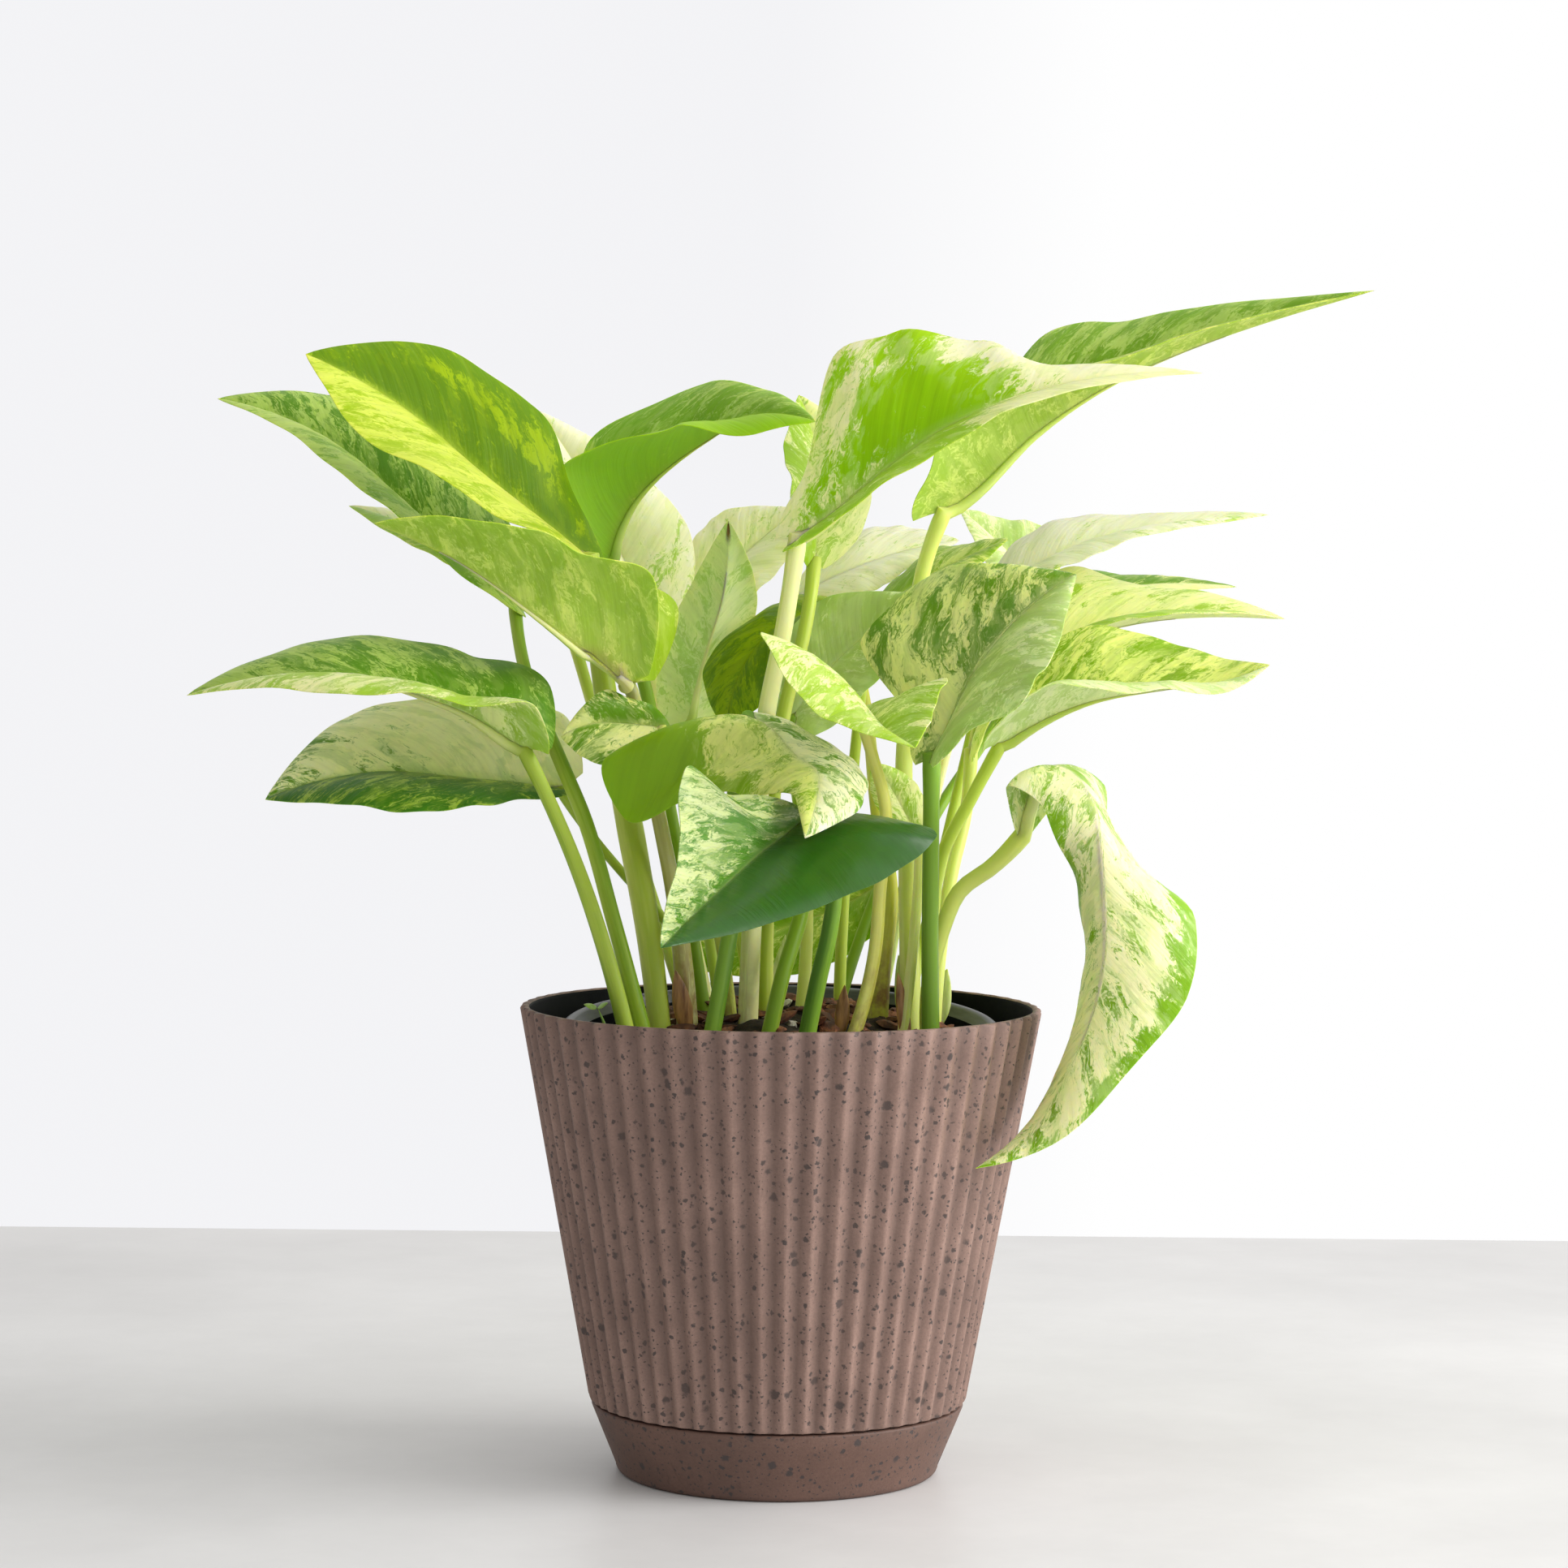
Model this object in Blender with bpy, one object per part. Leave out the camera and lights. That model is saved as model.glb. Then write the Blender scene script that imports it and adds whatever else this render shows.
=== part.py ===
# A potted marble queen pothos: a ribbed cover pot on a clip-on drip saucer, the plastic
# nursery pot inside it with its soil, and thirty leaves on their stalks.
# Metres, +Z up. The origin is the centre of the saucer's foot, where the pot rests.
# The viewer stands at -Y, so +X is the viewer's right.
import math
import random

import bmesh
import bpy
import numpy as np
from mathutils import Matrix, Vector

MM = 0.001

# Cover pot, in millimetres. The ribs' crests lie on one straight cone.
RIM_HEIGHT = 111.5
RIM_CREST_RADIUS = 62.5
RIB_FOOT_HEIGHT = 18.0
RIB_FOOT_RADIUS = 45.4
RIB_COUNT = 57
RIB_DEPTH = 1.2
RIB_STEPS = 4
RIM_INNER_RADIUS = 60.0
FLOOR_HEIGHT = 13.3
FLOOR_RADIUS = 38.4
FLOOR_THICKNESS = 2.6
SKIRT_TOP_RADIUS = 41.4
SKIRT_FOOT_RADIUS = 37.4
SKIRT_WALL = 2.0

# Drip saucer. The cover pot's skirt stands in it with a small gap all round.
SAUCER_HEIGHT = 16.8
SAUCER_TOP_RADIUS = 44.6
SAUCER_FOOT_RADIUS = 36.8
SAUCER_WALL = 2.3
SAUCER_FLOOR = 2.8
SAUCER_EDGE = 1.9
SEAT_GAP = 0.3

# Nursery pot. It leans towards the viewer and its rolled rim shows above the cover pot's wall.
NURSERY_RIM_HEIGHT = 107.2
NURSERY_RIM_RADIUS = 52.5
NURSERY_DEPTH = 91.0
NURSERY_FOOT_RADIUS = 33.0
NURSERY_WALL = 1.0
NURSERY_LEAN_DEGREES = 5.0
BEAD_HEIGHT = 2.6

# Soil, inside the nursery pot.
SOIL_BELOW_RIM = 6.2
SOIL_GAP = 0.3
SOIL_ROUGHNESS = 0.8
SOIL_MOUND = 9.0
STALK_CLEARANCE = 0.35
STALK_FOOT_HEIGHT = 87.0
HOLE_TOP_HEIGHT = 122.0

# Leaves and stalks.
BLADE_THICKNESS = 0.8
STALK_SIDES = 6
STALK_STEP = 18.0
RIDGE_LENGTH = 0.22
RIDGE_RADIUS = 0.55

COLOURS = {
    "pot_composite": ((0.29, 0.22, 0.19), 0.75),
    "saucer_composite": ((0.26, 0.19, 0.16), 0.75),
    "nursery_plastic": ((0.05, 0.055, 0.06), 0.45),
    "potting_soil": ((0.05, 0.03, 0.02), 0.95),
    "leaf_deep_green": ((0.10, 0.24, 0.05), 0.4),
    "leaf_mid_green": ((0.24, 0.40, 0.09), 0.42),
    "leaf_yellow_green": ((0.40, 0.50, 0.06), 0.42),
    "leaf_pale_green": ((0.58, 0.66, 0.30), 0.45),
    "leaf_cream_green": ((0.70, 0.72, 0.42), 0.45),
}


# Materials and small helpers.

def material(slot):
    found = bpy.data.materials.get(slot)
    if found:
        return found
    colour, roughness = COLOURS[slot]
    made = bpy.data.materials.new(slot)
    made.use_nodes = True
    shader = made.node_tree.nodes["Principled BSDF"]
    shader.inputs["Base Color"].default_value = (*colour, 1.0)
    shader.inputs["Roughness"].default_value = roughness
    shader.inputs["Metallic"].default_value = 0.0
    return made


def new_object(name, bm, slot=None, smooth_below=40.0):
    """Turn a bmesh in millimetres into an object in metres with its faces pointing out."""
    bmesh.ops.scale(bm, vec=(MM, MM, MM), verts=bm.verts)
    bmesh.ops.recalc_face_normals(bm, faces=bm.faces)
    mesh = bpy.data.meshes.new(name)
    bm.to_mesh(mesh)
    bm.free()
    mesh.shade_smooth()
    mesh.set_sharp_from_angle(angle=math.radians(smooth_below))
    made = bpy.data.objects.new(name, mesh)
    bpy.context.scene.collection.objects.link(made)
    if slot:
        mesh.materials.append(material(slot))
    return made


def combine(target, other, operation, solver="EXACT"):
    """Join or cut the target with another object, which is used up."""
    other.hide_render = True
    other.display_type = "WIRE"
    step = target.modifiers.new(operation.lower(), "BOOLEAN")
    step.operation = operation
    step.solver = solver
    step.object = other
    graph = bpy.context.evaluated_depsgraph_get()
    mesh = bpy.data.meshes.new_from_object(target.evaluated_get(graph))
    target.modifiers.clear()
    target.data = mesh
    bpy.data.objects.remove(other)


def ring(bm, radius, height, count, dip=None):
    """A ring of points about Z. dip(i) moves point i inwards."""
    points = []
    for i in range(count):
        angle = 2 * math.pi * i / count
        reach = radius - (dip(i) if dip else 0.0)
        points.append(bm.verts.new((reach * math.cos(angle), reach * math.sin(angle), height)))
    return points


def join_rings(bm, fine, coarse):
    """A band between two rings. The fine ring has a whole number of points per coarse point."""
    share = len(fine) // len(coarse)
    for i, near in enumerate(coarse):
        far = coarse[(i + 1) % len(coarse)]
        first = i * share
        if share == 1:
            bm.faces.new((fine[first], fine[(first + 1) % len(fine)], far, near))
            continue
        half = share // 2
        for k in range(share):
            corner = near if k < half else far
            bm.faces.new((fine[first + k], fine[(first + k + 1) % len(fine)], corner))
        bm.faces.new((near, fine[first + half], far))


def cap_ring(bm, points, height):
    centre = bm.verts.new((0.0, 0.0, height))
    for i, point in enumerate(points):
        bm.faces.new((point, points[(i + 1) % len(points)], centre))


def turned(name, profile, segments, slot):
    """Turn a profile of (radius, height) pairs about Z. Both of its ends lie on the axis."""
    bm = bmesh.new()
    rings = [ring(bm, radius, height, segments) for radius, height in profile[1:-1]]
    for one, other in zip(rings, rings[1:]):
        join_rings(bm, one, other)
    cap_ring(bm, rings[0], profile[0][1])
    cap_ring(bm, rings[-1], profile[-1][1])
    return new_object(name, bm, slot)


def drill(target, places, radius, low, high, sides=10):
    """Cut upright round holes at the places given, from one height to another."""
    for x, y in places:
        bm = bmesh.new()
        bottom = [v.co + Vector((x, y, 0)) for v in ring(bm, radius, low, sides)]
        bm.clear()
        lower = [bm.verts.new(co) for co in bottom]
        upper = [bm.verts.new((co.x, co.y, high)) for co in bottom]
        bm.faces.new(lower)
        bm.faces.new(upper)
        join_rings(bm, lower, upper)
        combine(target, new_object("drill", bm), "DIFFERENCE")


def places_on_circle(count, radius, turn=0.0):
    angles = [turn + 2 * math.pi * i / count for i in range(count)]
    return [(radius * math.cos(a), radius * math.sin(a)) for a in angles]


# Pots.

def cover_pot():
    """Ribbed cone above, plain skirt below that nests in the saucer, and a floor with drain holes."""
    bm = bmesh.new()
    fine = RIB_COUNT * RIB_STEPS

    def rib(i):
        return 0.5 * RIB_DEPTH * (1 - math.cos(2 * math.pi * i / RIB_STEPS))

    seat = SAUCER_HEIGHT + SEAT_GAP
    skirt_foot = SAUCER_FLOOR + SEAT_GAP
    floor_under = FLOOR_HEIGHT - FLOOR_THICKNESS
    rim = ring(bm, RIM_CREST_RADIUS, RIM_HEIGHT, fine, rib)
    rib_foot = ring(bm, RIB_FOOT_RADIUS, RIB_FOOT_HEIGHT, fine, rib)
    join_rings(bm, rim, rib_foot)
    outside = [
        (SAUCER_TOP_RADIUS - 0.7, seat),
        (SKIRT_TOP_RADIUS, seat),
        (SKIRT_FOOT_RADIUS, skirt_foot),
        (SKIRT_FOOT_RADIUS - SKIRT_WALL, skirt_foot),
        (SKIRT_FOOT_RADIUS - 0.6 * SKIRT_WALL, floor_under),
    ]
    rings = [ring(bm, radius, height, RIB_COUNT) for radius, height in outside]
    join_rings(bm, rib_foot, rings[0])
    for one, other in zip(rings, rings[1:]):
        join_rings(bm, one, other)
    cap_ring(bm, rings[-1], floor_under)
    inside = [
        (RIM_INNER_RADIUS, RIM_HEIGHT),
        (RIB_FOOT_RADIUS - RIB_DEPTH - 2.4, RIB_FOOT_HEIGHT + 1.0),
        (FLOOR_RADIUS, FLOOR_HEIGHT),
    ]
    rings = [ring(bm, radius, height, RIB_COUNT) for radius, height in inside]
    join_rings(bm, rim, rings[0])
    for one, other in zip(rings, rings[1:]):
        join_rings(bm, one, other)
    cap_ring(bm, rings[-1], FLOOR_HEIGHT)
    pot = new_object("pot_body", bm, "pot_composite", 60.0)
    drains = [(0.0, 0.0)] + places_on_circle(4, 22.0, 0.13)
    drill(pot, drains, 3.0, floor_under - 1.0, FLOOR_HEIGHT + 1.0)
    return pot


def drip_saucer():
    """A plain dish whose outer wall carries the cover pot's taper down to the table."""
    foot = SAUCER_FOOT_RADIUS
    profile = [
        (0.0, 0.0),
        (foot, 0.0),
        (foot + 0.75 * SAUCER_EDGE, 0.3 * SAUCER_EDGE),
        (foot + SAUCER_EDGE, SAUCER_EDGE),
        (SAUCER_TOP_RADIUS, SAUCER_HEIGHT - 0.5),
        (SAUCER_TOP_RADIUS - 0.5, SAUCER_HEIGHT),
        (SAUCER_TOP_RADIUS - SAUCER_WALL, SAUCER_HEIGHT),
        (SKIRT_FOOT_RADIUS + 0.7, SAUCER_FLOOR + 0.5),
        (SKIRT_FOOT_RADIUS + 0.4, SAUCER_FLOOR),
        (0.0, SAUCER_FLOOR),
    ]
    return turned("drip_saucer", profile, 60, "saucer_composite")


def lean():
    """The nursery pot's place: its rim's centre, tipped towards the viewer."""
    tip = Matrix.Rotation(math.radians(NURSERY_LEAN_DEGREES), 4, "X")
    return Matrix.Translation((0.0, 0.0, NURSERY_RIM_HEIGHT * MM)) @ tip


def nursery_radius(depth):
    """The outside radius of the nursery pot's wall at a depth below its rim."""
    top = NURSERY_RIM_RADIUS - 2.5
    return top + (NURSERY_FOOT_RADIUS - top) * depth / NURSERY_DEPTH


def nursery_pot():
    rim = NURSERY_RIM_RADIUS
    profile = [
        (0.0, -NURSERY_DEPTH),
        (NURSERY_FOOT_RADIUS, -NURSERY_DEPTH),
        (nursery_radius(BEAD_HEIGHT), -BEAD_HEIGHT),
        (rim - 0.4, -BEAD_HEIGHT),
        (rim, -0.5 * BEAD_HEIGHT),
        (rim - 0.5, -0.2),
        (rim - 1.4, 0.0),
        (rim - 2.6, -0.4),
        (nursery_radius(BEAD_HEIGHT) - NURSERY_WALL, -BEAD_HEIGHT),
        (nursery_radius(NURSERY_DEPTH - NURSERY_WALL) - NURSERY_WALL, NURSERY_WALL - NURSERY_DEPTH),
        (0.0, NURSERY_WALL - NURSERY_DEPTH),
    ]
    pot = turned("nursery_pot", profile, 48, "nursery_plastic")
    drill(pot, places_on_circle(6, 22.0, 0.09), 3.5, -NURSERY_DEPTH - 2.0, 3.0 - NURSERY_DEPTH)
    pot.matrix_world = lean()
    return pot


def soil(stalks):
    """The soil plug, heaped up towards the middle, with a plain hole for each stalk."""
    uneven = random.Random(7)
    bm = bmesh.new()
    wall = NURSERY_WALL + SOIL_GAP
    low = NURSERY_WALL + SOIL_GAP - NURSERY_DEPTH
    segments = 48
    foot = ring(bm, nursery_radius(-low) - wall, low, segments)
    edge_reach = nursery_radius(SOIL_BELOW_RIM) - wall
    edge = ring(bm, edge_reach, -SOIL_BELOW_RIM, segments)
    join_rings(bm, foot, edge)
    cap_ring(bm, foot, low)
    outer = edge
    for reach, count in ((40.0, 24), (27.0, 24), (13.0, 12)):
        mound = SOIL_MOUND * (1 - (reach / edge_reach) ** 2)
        inner = ring(bm, reach, mound - SOIL_BELOW_RIM, count)
        for point in inner:
            point.co.z += uneven.uniform(-SOIL_ROUGHNESS, SOIL_ROUGHNESS)
        join_rings(bm, outer, inner)
        outer = inner
    cap_ring(bm, outer, SOIL_MOUND - SOIL_BELOW_RIM)
    bmesh.ops.transform(bm, matrix=Matrix.Scale(1 / MM, 4) @ lean() @ Matrix.Scale(MM, 4), verts=bm.verts)
    plug = new_object("soil", bm, "potting_soil", 60.0)
    for points, radii in stalks:
        below = points[:, 2] < HOLE_TOP_HEIGHT
        last = int(np.argmin(below)) + 1
        path = points[:last].copy()
        path[0] -= (points[1] - points[0]) / np.linalg.norm(points[1] - points[0]) * STALK_CLEARANCE
        hole = new_object("hole", tube(path, radii[:last] + STALK_CLEARANCE, points))
        combine(plug, hole, "DIFFERENCE")
    return plug


# Curves through points.

def unit(vectors):
    return vectors / np.linalg.norm(vectors, axis=-1, keepdims=True)


def smooth_curve(knots, values, s):
    """A cubic Hermite curve through the values at the knots, with central slopes."""
    knots = np.asarray(knots, float)
    values = np.asarray(values, float)
    slopes = np.gradient(values, knots, axis=0, edge_order=2 if len(knots) > 2 else 1)
    i = np.clip(np.searchsorted(knots, s, side="right") - 1, 0, len(knots) - 2)
    span = (knots[i + 1] - knots[i])[:, None]
    t = (s - knots[i])[:, None] / span
    start = values[i] * (1 + 2 * t) * (1 - t) ** 2 + slopes[i] * span * t * (1 - t) ** 2
    end = values[i + 1] * t * t * (3 - 2 * t) + slopes[i + 1] * span * t * t * (t - 1)
    return start + end


def eased(knots, values, s):
    """Move from value to value with no slope at the knots, and hold the first and last."""
    knots = np.asarray(knots, float)
    if len(knots) == 1:
        return np.repeat(values, len(s), axis=0)
    i = np.clip(np.searchsorted(knots, s, side="right") - 1, 0, len(knots) - 2)
    t = np.clip((s - knots[i]) / (knots[i + 1] - knots[i]), 0, 1)
    t = (t * t * (3 - 2 * t))[:, None]
    return values[i] * (1 - t) + values[i + 1] * t


def half_width(s, root, taper):
    """A leaf's outline from its base (s = 0) to its tip (s = 1), with 1 at its widest."""
    def raw(x):
        return (x + 0.012) ** root * (1 - x) ** taper
    return raw(s) / raw(np.linspace(0, 1, 400)).max()


# Leaf blades and stalks.

LEAVES = []


def leaf(name, tone, base, tip, rows, foot, stem, radii, fine=False,
         root=0.62, taper=0.95, bulge=0.1, lobe=0.05):
    """Note down a leaf. Places are in millimetres.

    rows holds, for each share of the way from base to tip, a point on the midrib, one on
    the left margin and one on the right. stem lists points that the stalk passes between its
    foot in the soil and the base. radii are the stalk's at the foot, half way and the base.
    """
    LEAVES.append(dict(
        name=name, tone=tone, base=base, tip=tip, rows=rows, foot=foot, stem=stem, radii=radii,
        fine=fine, root=root, taper=taper, bulge=bulge, lobe=lobe, phase=0.37 * len(LEAVES) % 1,
    ))


def blade_grid(one):
    """Points of the blade's middle surface, one row for each step from base to tip.

    A half of the blade reaches from the midrib to the margin's point, arched by the bulge,
    swept back into a lobe beside the stalk and rippled along its margin.
    """
    steps, across = (9, 3) if one["fine"] else (7, 2)
    rows = one["rows"]
    shares = np.array([row[0] for row in rows])
    knots = np.concatenate(([0.0], shares, [1.0]))
    middles = np.array([one["base"], *[row[1] for row in rows], one["tip"]], float)
    s = np.linspace(0, 1, steps + 1)
    midrib = smooth_curve(knots, middles, s)
    along = unit(np.gradient(midrib, s, axis=0))
    dense = smooth_curve(knots, middles, np.linspace(0, 1, 60))
    length = np.linalg.norm(np.diff(dense, axis=0), axis=1).sum()
    width = half_width(s, one["root"], one["taper"])
    width_at_rows = half_width(shares, one["root"], one["taper"])[:, None]
    bulges = one["bulge"] if isinstance(one["bulge"], tuple) else (one["bulge"],) * 2
    q = np.linspace(0, 1, across + 1)[None, :, None]
    halves = []
    for side, column, bulge in ((-1, 2, bulges[0]), (1, 3, bulges[1])):
        reach = np.array([np.subtract(row[column], row[1]) for row in rows], float) / width_at_rows
        chord = width[:, None] * eased(shares, reach, s)
        face = unit(np.cross(chord, along) + 1e-9) * side
        size = np.linalg.norm(chord, axis=1)[:, None, None]
        points = midrib[:, None] + q * chord[:, None] + 4 * bulge * q * (1 - q) * size * face[:, None]
        swept = one["lobe"] * length * (1 - s) ** 3
        points = points - swept[:, None, None] * q ** 1.4 * along[0]
        phase = one["phase"] + (0.0 if side < 0 else 1.7)
        ripple = 0.6 * np.sin(2 * math.pi * (2.3 * s + phase)) * width
        halves.append(points + ripple[:, None, None] * q ** 2 * face[:, None])
    grid = np.concatenate([halves[0][:, ::-1], halves[1][:, 1:]], axis=1)
    return grid, midrib, along


def grid_normals(grid):
    """The upper face's direction at each grid point, from its neighbours."""
    forward = np.gradient(grid, axis=0)
    sideways = np.gradient(grid, axis=1)
    forward[-1] = forward[-2]
    sideways[-1] = sideways[-2]
    return unit(np.cross(sideways, forward))


def blade_solid(grid):
    """The blade as a thin closed solid, split into triangles alike on both faces."""
    bm = bmesh.new()
    normals = grid_normals(grid)
    rows, columns = grid.shape[:2]
    centre = columns // 2
    faces = []
    for side in (0.5, -0.5):
        points = grid + side * BLADE_THICKNESS * normals
        net = [[bm.verts.new(co) for co in row] for row in points[:-1]]
        end = bm.verts.new(points[-1, centre])
        net.append([end] * columns)
        faces.append(net)
    for net in faces:
        for i in range(rows - 1):
            for k in range(columns - 1):
                a, b, c, d = net[i][k], net[i][k + 1], net[i + 1][k + 1], net[i + 1][k]
                if i == rows - 2:
                    bm.faces.new((a, b, c))
                elif k < centre:
                    bm.faces.new((a, b, d))
                    bm.faces.new((b, c, d))
                else:
                    bm.faces.new((a, b, c))
                    bm.faces.new((a, c, d))
    top, bottom = faces
    for k in range(columns - 1):
        bm.faces.new((top[0][k], top[0][k + 1], bottom[0][k + 1], bottom[0][k]))
    for k in (0, columns - 1):
        for i in range(rows - 1):
            bm.faces.new((top[i][k], top[i + 1][k], bottom[i + 1][k], bottom[i][k]))
    return bm


def stalk_path(one, grid, midrib):
    """The stalk's centre line and radii, from its foot in the soil to a ridge under the midrib."""
    foot = (*one["foot"], STALK_FOOT_HEIGHT)
    through = np.array([foot, *one["stem"], one["base"]], float)
    if len(through) == 2:
        through = np.array([through[0], through.mean(axis=0), through[1]])
    distance = np.concatenate(([0.0], np.cumsum(np.linalg.norm(np.diff(through, axis=0), axis=1))))
    steps = max(6, round(distance[-1] / STALK_STEP))
    s = np.linspace(0, 1, steps + 1)
    points = smooth_curve(distance / distance[-1], through, s)
    radii = np.interp(s, (0, 0.5, 1), one["radii"])
    under = grid_normals(grid)[:, grid.shape[1] // 2]
    last = max(1, round(RIDGE_LENGTH * (len(midrib) - 1)))
    share = np.arange(1, last + 1) / last
    ridge_radii = radii[-1] + (RIDGE_RADIUS - radii[-1]) * share
    ridge = midrib[1:last + 1] - under[1:last + 1] * 0.5 * ridge_radii[:, None]
    return np.concatenate([points, ridge]), np.concatenate([radii, ridge_radii])


def tube(points, radii, whole=None):
    """A tube along the points. Its sides turn with the path and don't twist about it."""
    bm = bmesh.new()
    line = points if whole is None else whole
    directions = unit(np.gradient(line, axis=0))[:len(points)]
    side = Vector((1.0, 0.0, 0.0))
    rings = []
    for point, direction, radius in zip(points, directions, radii):
        forward = Vector(direction)
        side = (side - forward * side.dot(forward)).normalized()
        other = forward.cross(side)
        loop = []
        for i in range(STALK_SIDES):
            angle = 2 * math.pi * i / STALK_SIDES
            place = Vector(point) + (side * math.cos(angle) + other * math.sin(angle)) * float(radius)
            loop.append(bm.verts.new(place))
        rings.append(loop)
    for one, other in zip(rings, rings[1:]):
        join_rings(bm, one, other)
    bm.faces.new(rings[0])
    bm.faces.new(rings[-1])
    return bm


def leaf_object(one):
    grid, midrib, _ = blade_grid(one)
    points, radii = stalk_path(one, grid, midrib)
    blade = new_object(one["name"], blade_solid(grid), "leaf_" + one["tone"], 60.0)
    combine(blade, new_object("stalk", tube(points, radii)), "UNION", "MANIFOLD")
    return points, radii


# Leaves, from the left of the pot to the right. Each is drawn by hand through a few points.

leaf("leaf_01", "yellow_green", base=(-47, 5, 218), tip=(-113, -12, 265),
     rows=[(0.12, (-53, 3, 223), (-55, -9, 222), (-51, 10, 231)),
           (0.4, (-71, -1, 237), (-75, -23, 233), (-61, 14, 255)),
           (0.72, (-92, -5, 254), (-101, -21, 248), (-88, 8, 269))],
     foot=(-27, -10), stem=[(-32, -8, 131), (-37, 0, 156), (-43, 3, 187)],
     radii=(2.5, 3.4, 2.4), fine=True, bulge=(0.05, 0.08))
leaf("leaf_02", "mid_green", base=(-66, 26, 207), tip=(-141, 40, 257),
     rows=[(0.35, (-89, 28, 227), (-92, 8, 226), (-83, 46, 244)),
           (0.7, (-114, 33, 247), (-116, 15, 245), (-109, 47, 258))],
     foot=(-27, -18), stem=[(-39, -21, 132), (-47, -17, 158), (-52, -13, 169), (-62, 8, 190)],
     radii=(1.9, 1.8, 1.5), fine=True)
leaf("leaf_03", "pale_green", base=(-54, 54, 201), tip=(-109, 46, 231),
     rows=[(0.35, (-73, 52, 215), (-73, 32, 213), (-71, 74, 218)),
           (0.7, (-92, 48, 225), (-92, 30, 221), (-92, 68, 228))],
     foot=(-16, 28), stem=[(-46, 45, 176)],
     radii=(1.7, 1.7, 1.5))
leaf("leaf_04", "mid_green", base=(-37, -18, 188), tip=(-94, -38, 225),
     rows=[(0.12, (-43, -22, 193), (-31, -30, 211), (-27, -8, 206)),
           (0.4, (-57, -30, 204), (-49, -43, 220), (-49, -14, 215)),
           (0.72, (-76, -34, 217), (-70, -45, 226), (-71, -24, 222))],
     foot=(-22, -8), stem=[(-25, -7, 135), (-29, -6, 155), (-36, -4, 186)],
     radii=(3.0, 1.9, 1.6), lobe=0.05)
leaf("leaf_05", "yellow_green", base=(-43, 30, 216), tip=(7, 4, 251),
     rows=[(0.3, (-37, 34, 233), (-50, 50, 247), (-55, 17, 240)),
           (0.6, (-20, 28, 247), (-20, 46, 263), (-27, 8, 250)),
           (0.83, (-6, 16, 253), (-3, 26, 259), (-6, 0, 248))],
     foot=(-15, 5), stem=[(-29, 14, 165), (-34, 25, 187), (-38, 28, 201)],
     radii=(1.9, 1.8, 1.6), fine=True, taper=0.85)
leaf("leaf_06", "pale_green", base=(-34, 56, 203), tip=(-63, 62, 256),
     rows=[(0.35, (-42, 58, 221), (-54, 50, 218), (-25, 62, 227)),
           (0.7, (-52, 62, 240), (-61, 56, 236), (-40, 66, 243))],
     foot=(-12, 33), stem=[(-31, 54, 175)],
     radii=(1.6, 1.6, 1.4), fine=True)
leaf("leaf_07", "mid_green", base=(-60, -27, 173), tip=(-138, -30, 185),
     rows=[(0.1, (-67, -29, 178), (-58, -46, 184), (-57, -16, 188)),
           (0.33, (-79, -31, 184), (-74, -54, 185), (-75, -12, 196)),
           (0.66, (-105, -36, 190), (-103, -56, 187), (-108, -18, 198))],
     foot=(-32, -22), stem=[(-38, -25, 116), (-48, -27, 147)],
     radii=(2.2, 2.0, 1.7), fine=True)
leaf("leaf_08", "cream_green", base=(-53, -4, 163), tip=(-120, -28, 161),
     rows=[(0.1, (-60, -6, 164), (-60, -16, 162), (-54, 8, 179)),
           (0.32, (-71, -10, 165), (-71, -33, 160), (-72, 10, 183)),
           (0.66, (-96, -18, 167), (-95, -42, 160), (-102, 0, 181))],
     foot=(-22, 19), stem=[(-28, 14, 130), (-38, 8, 142), (-45, 1, 151)],
     radii=(1.3, 1.2, 1.2), fine=True)
leaf("leaf_09", "cream_green", base=(-29, -10, 178), tip=(-52, -20, 176),
     rows=[(0.35, (-36, -14, 179), (-37, -20, 168), (-36, -15, 185)),
           (0.7, (-45, -18, 179), (-46, -22, 171), (-44, -17, 186))],
     foot=(-11, -2), stem=[(-14, -5, 125), (-20, -9, 150)],
     radii=(1.5, 1.5, 1.3), lobe=0.1)
leaf("leaf_10", "cream_green", base=(-8, -15, 181), tip=(5, -60, 155),
     rows=[(0.12, (-4, -18, 179), (4, -14, 179), (-39, -27, 171)),
           (0.35, (2, -27, 173), (15, -20, 172), (-35, -34, 157)),
           (0.7, (8, -40, 167), (19, -32, 164), (-10, -41, 164)),
           (0.87, (7, -51, 161), (15, -45, 159), (3, -49, 163))],
     foot=(-20, -20), stem=[(-13, -19, 125), (-11, -14, 139), (-12, -6, 156)],
     radii=(2.1, 1.9, 1.7), fine=True, root=0.5, bulge=(0.1, 0.12), lobe=0.05)
leaf("leaf_11", "deep_green", base=(5, -35, 158), tip=(-26, -95, 133),
     rows=[(0.12, (1, -44, 155), (32, -36, 156), (-11, -60, 164)),
           (0.35, (-5, -52, 151), (33, -42, 152), (-22, -72, 171)),
           (0.7, (-18, -76, 140), (8, -70, 140), (-23, -86, 150))],
     foot=(3, -27), stem=[(9, -28, 122), (11, -29, 131), (12, -29, 143)],
     radii=(2.1, 2.0, 1.7), fine=True, root=0.5, bulge=(0.08, 0.04), lobe=0.04)
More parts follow.
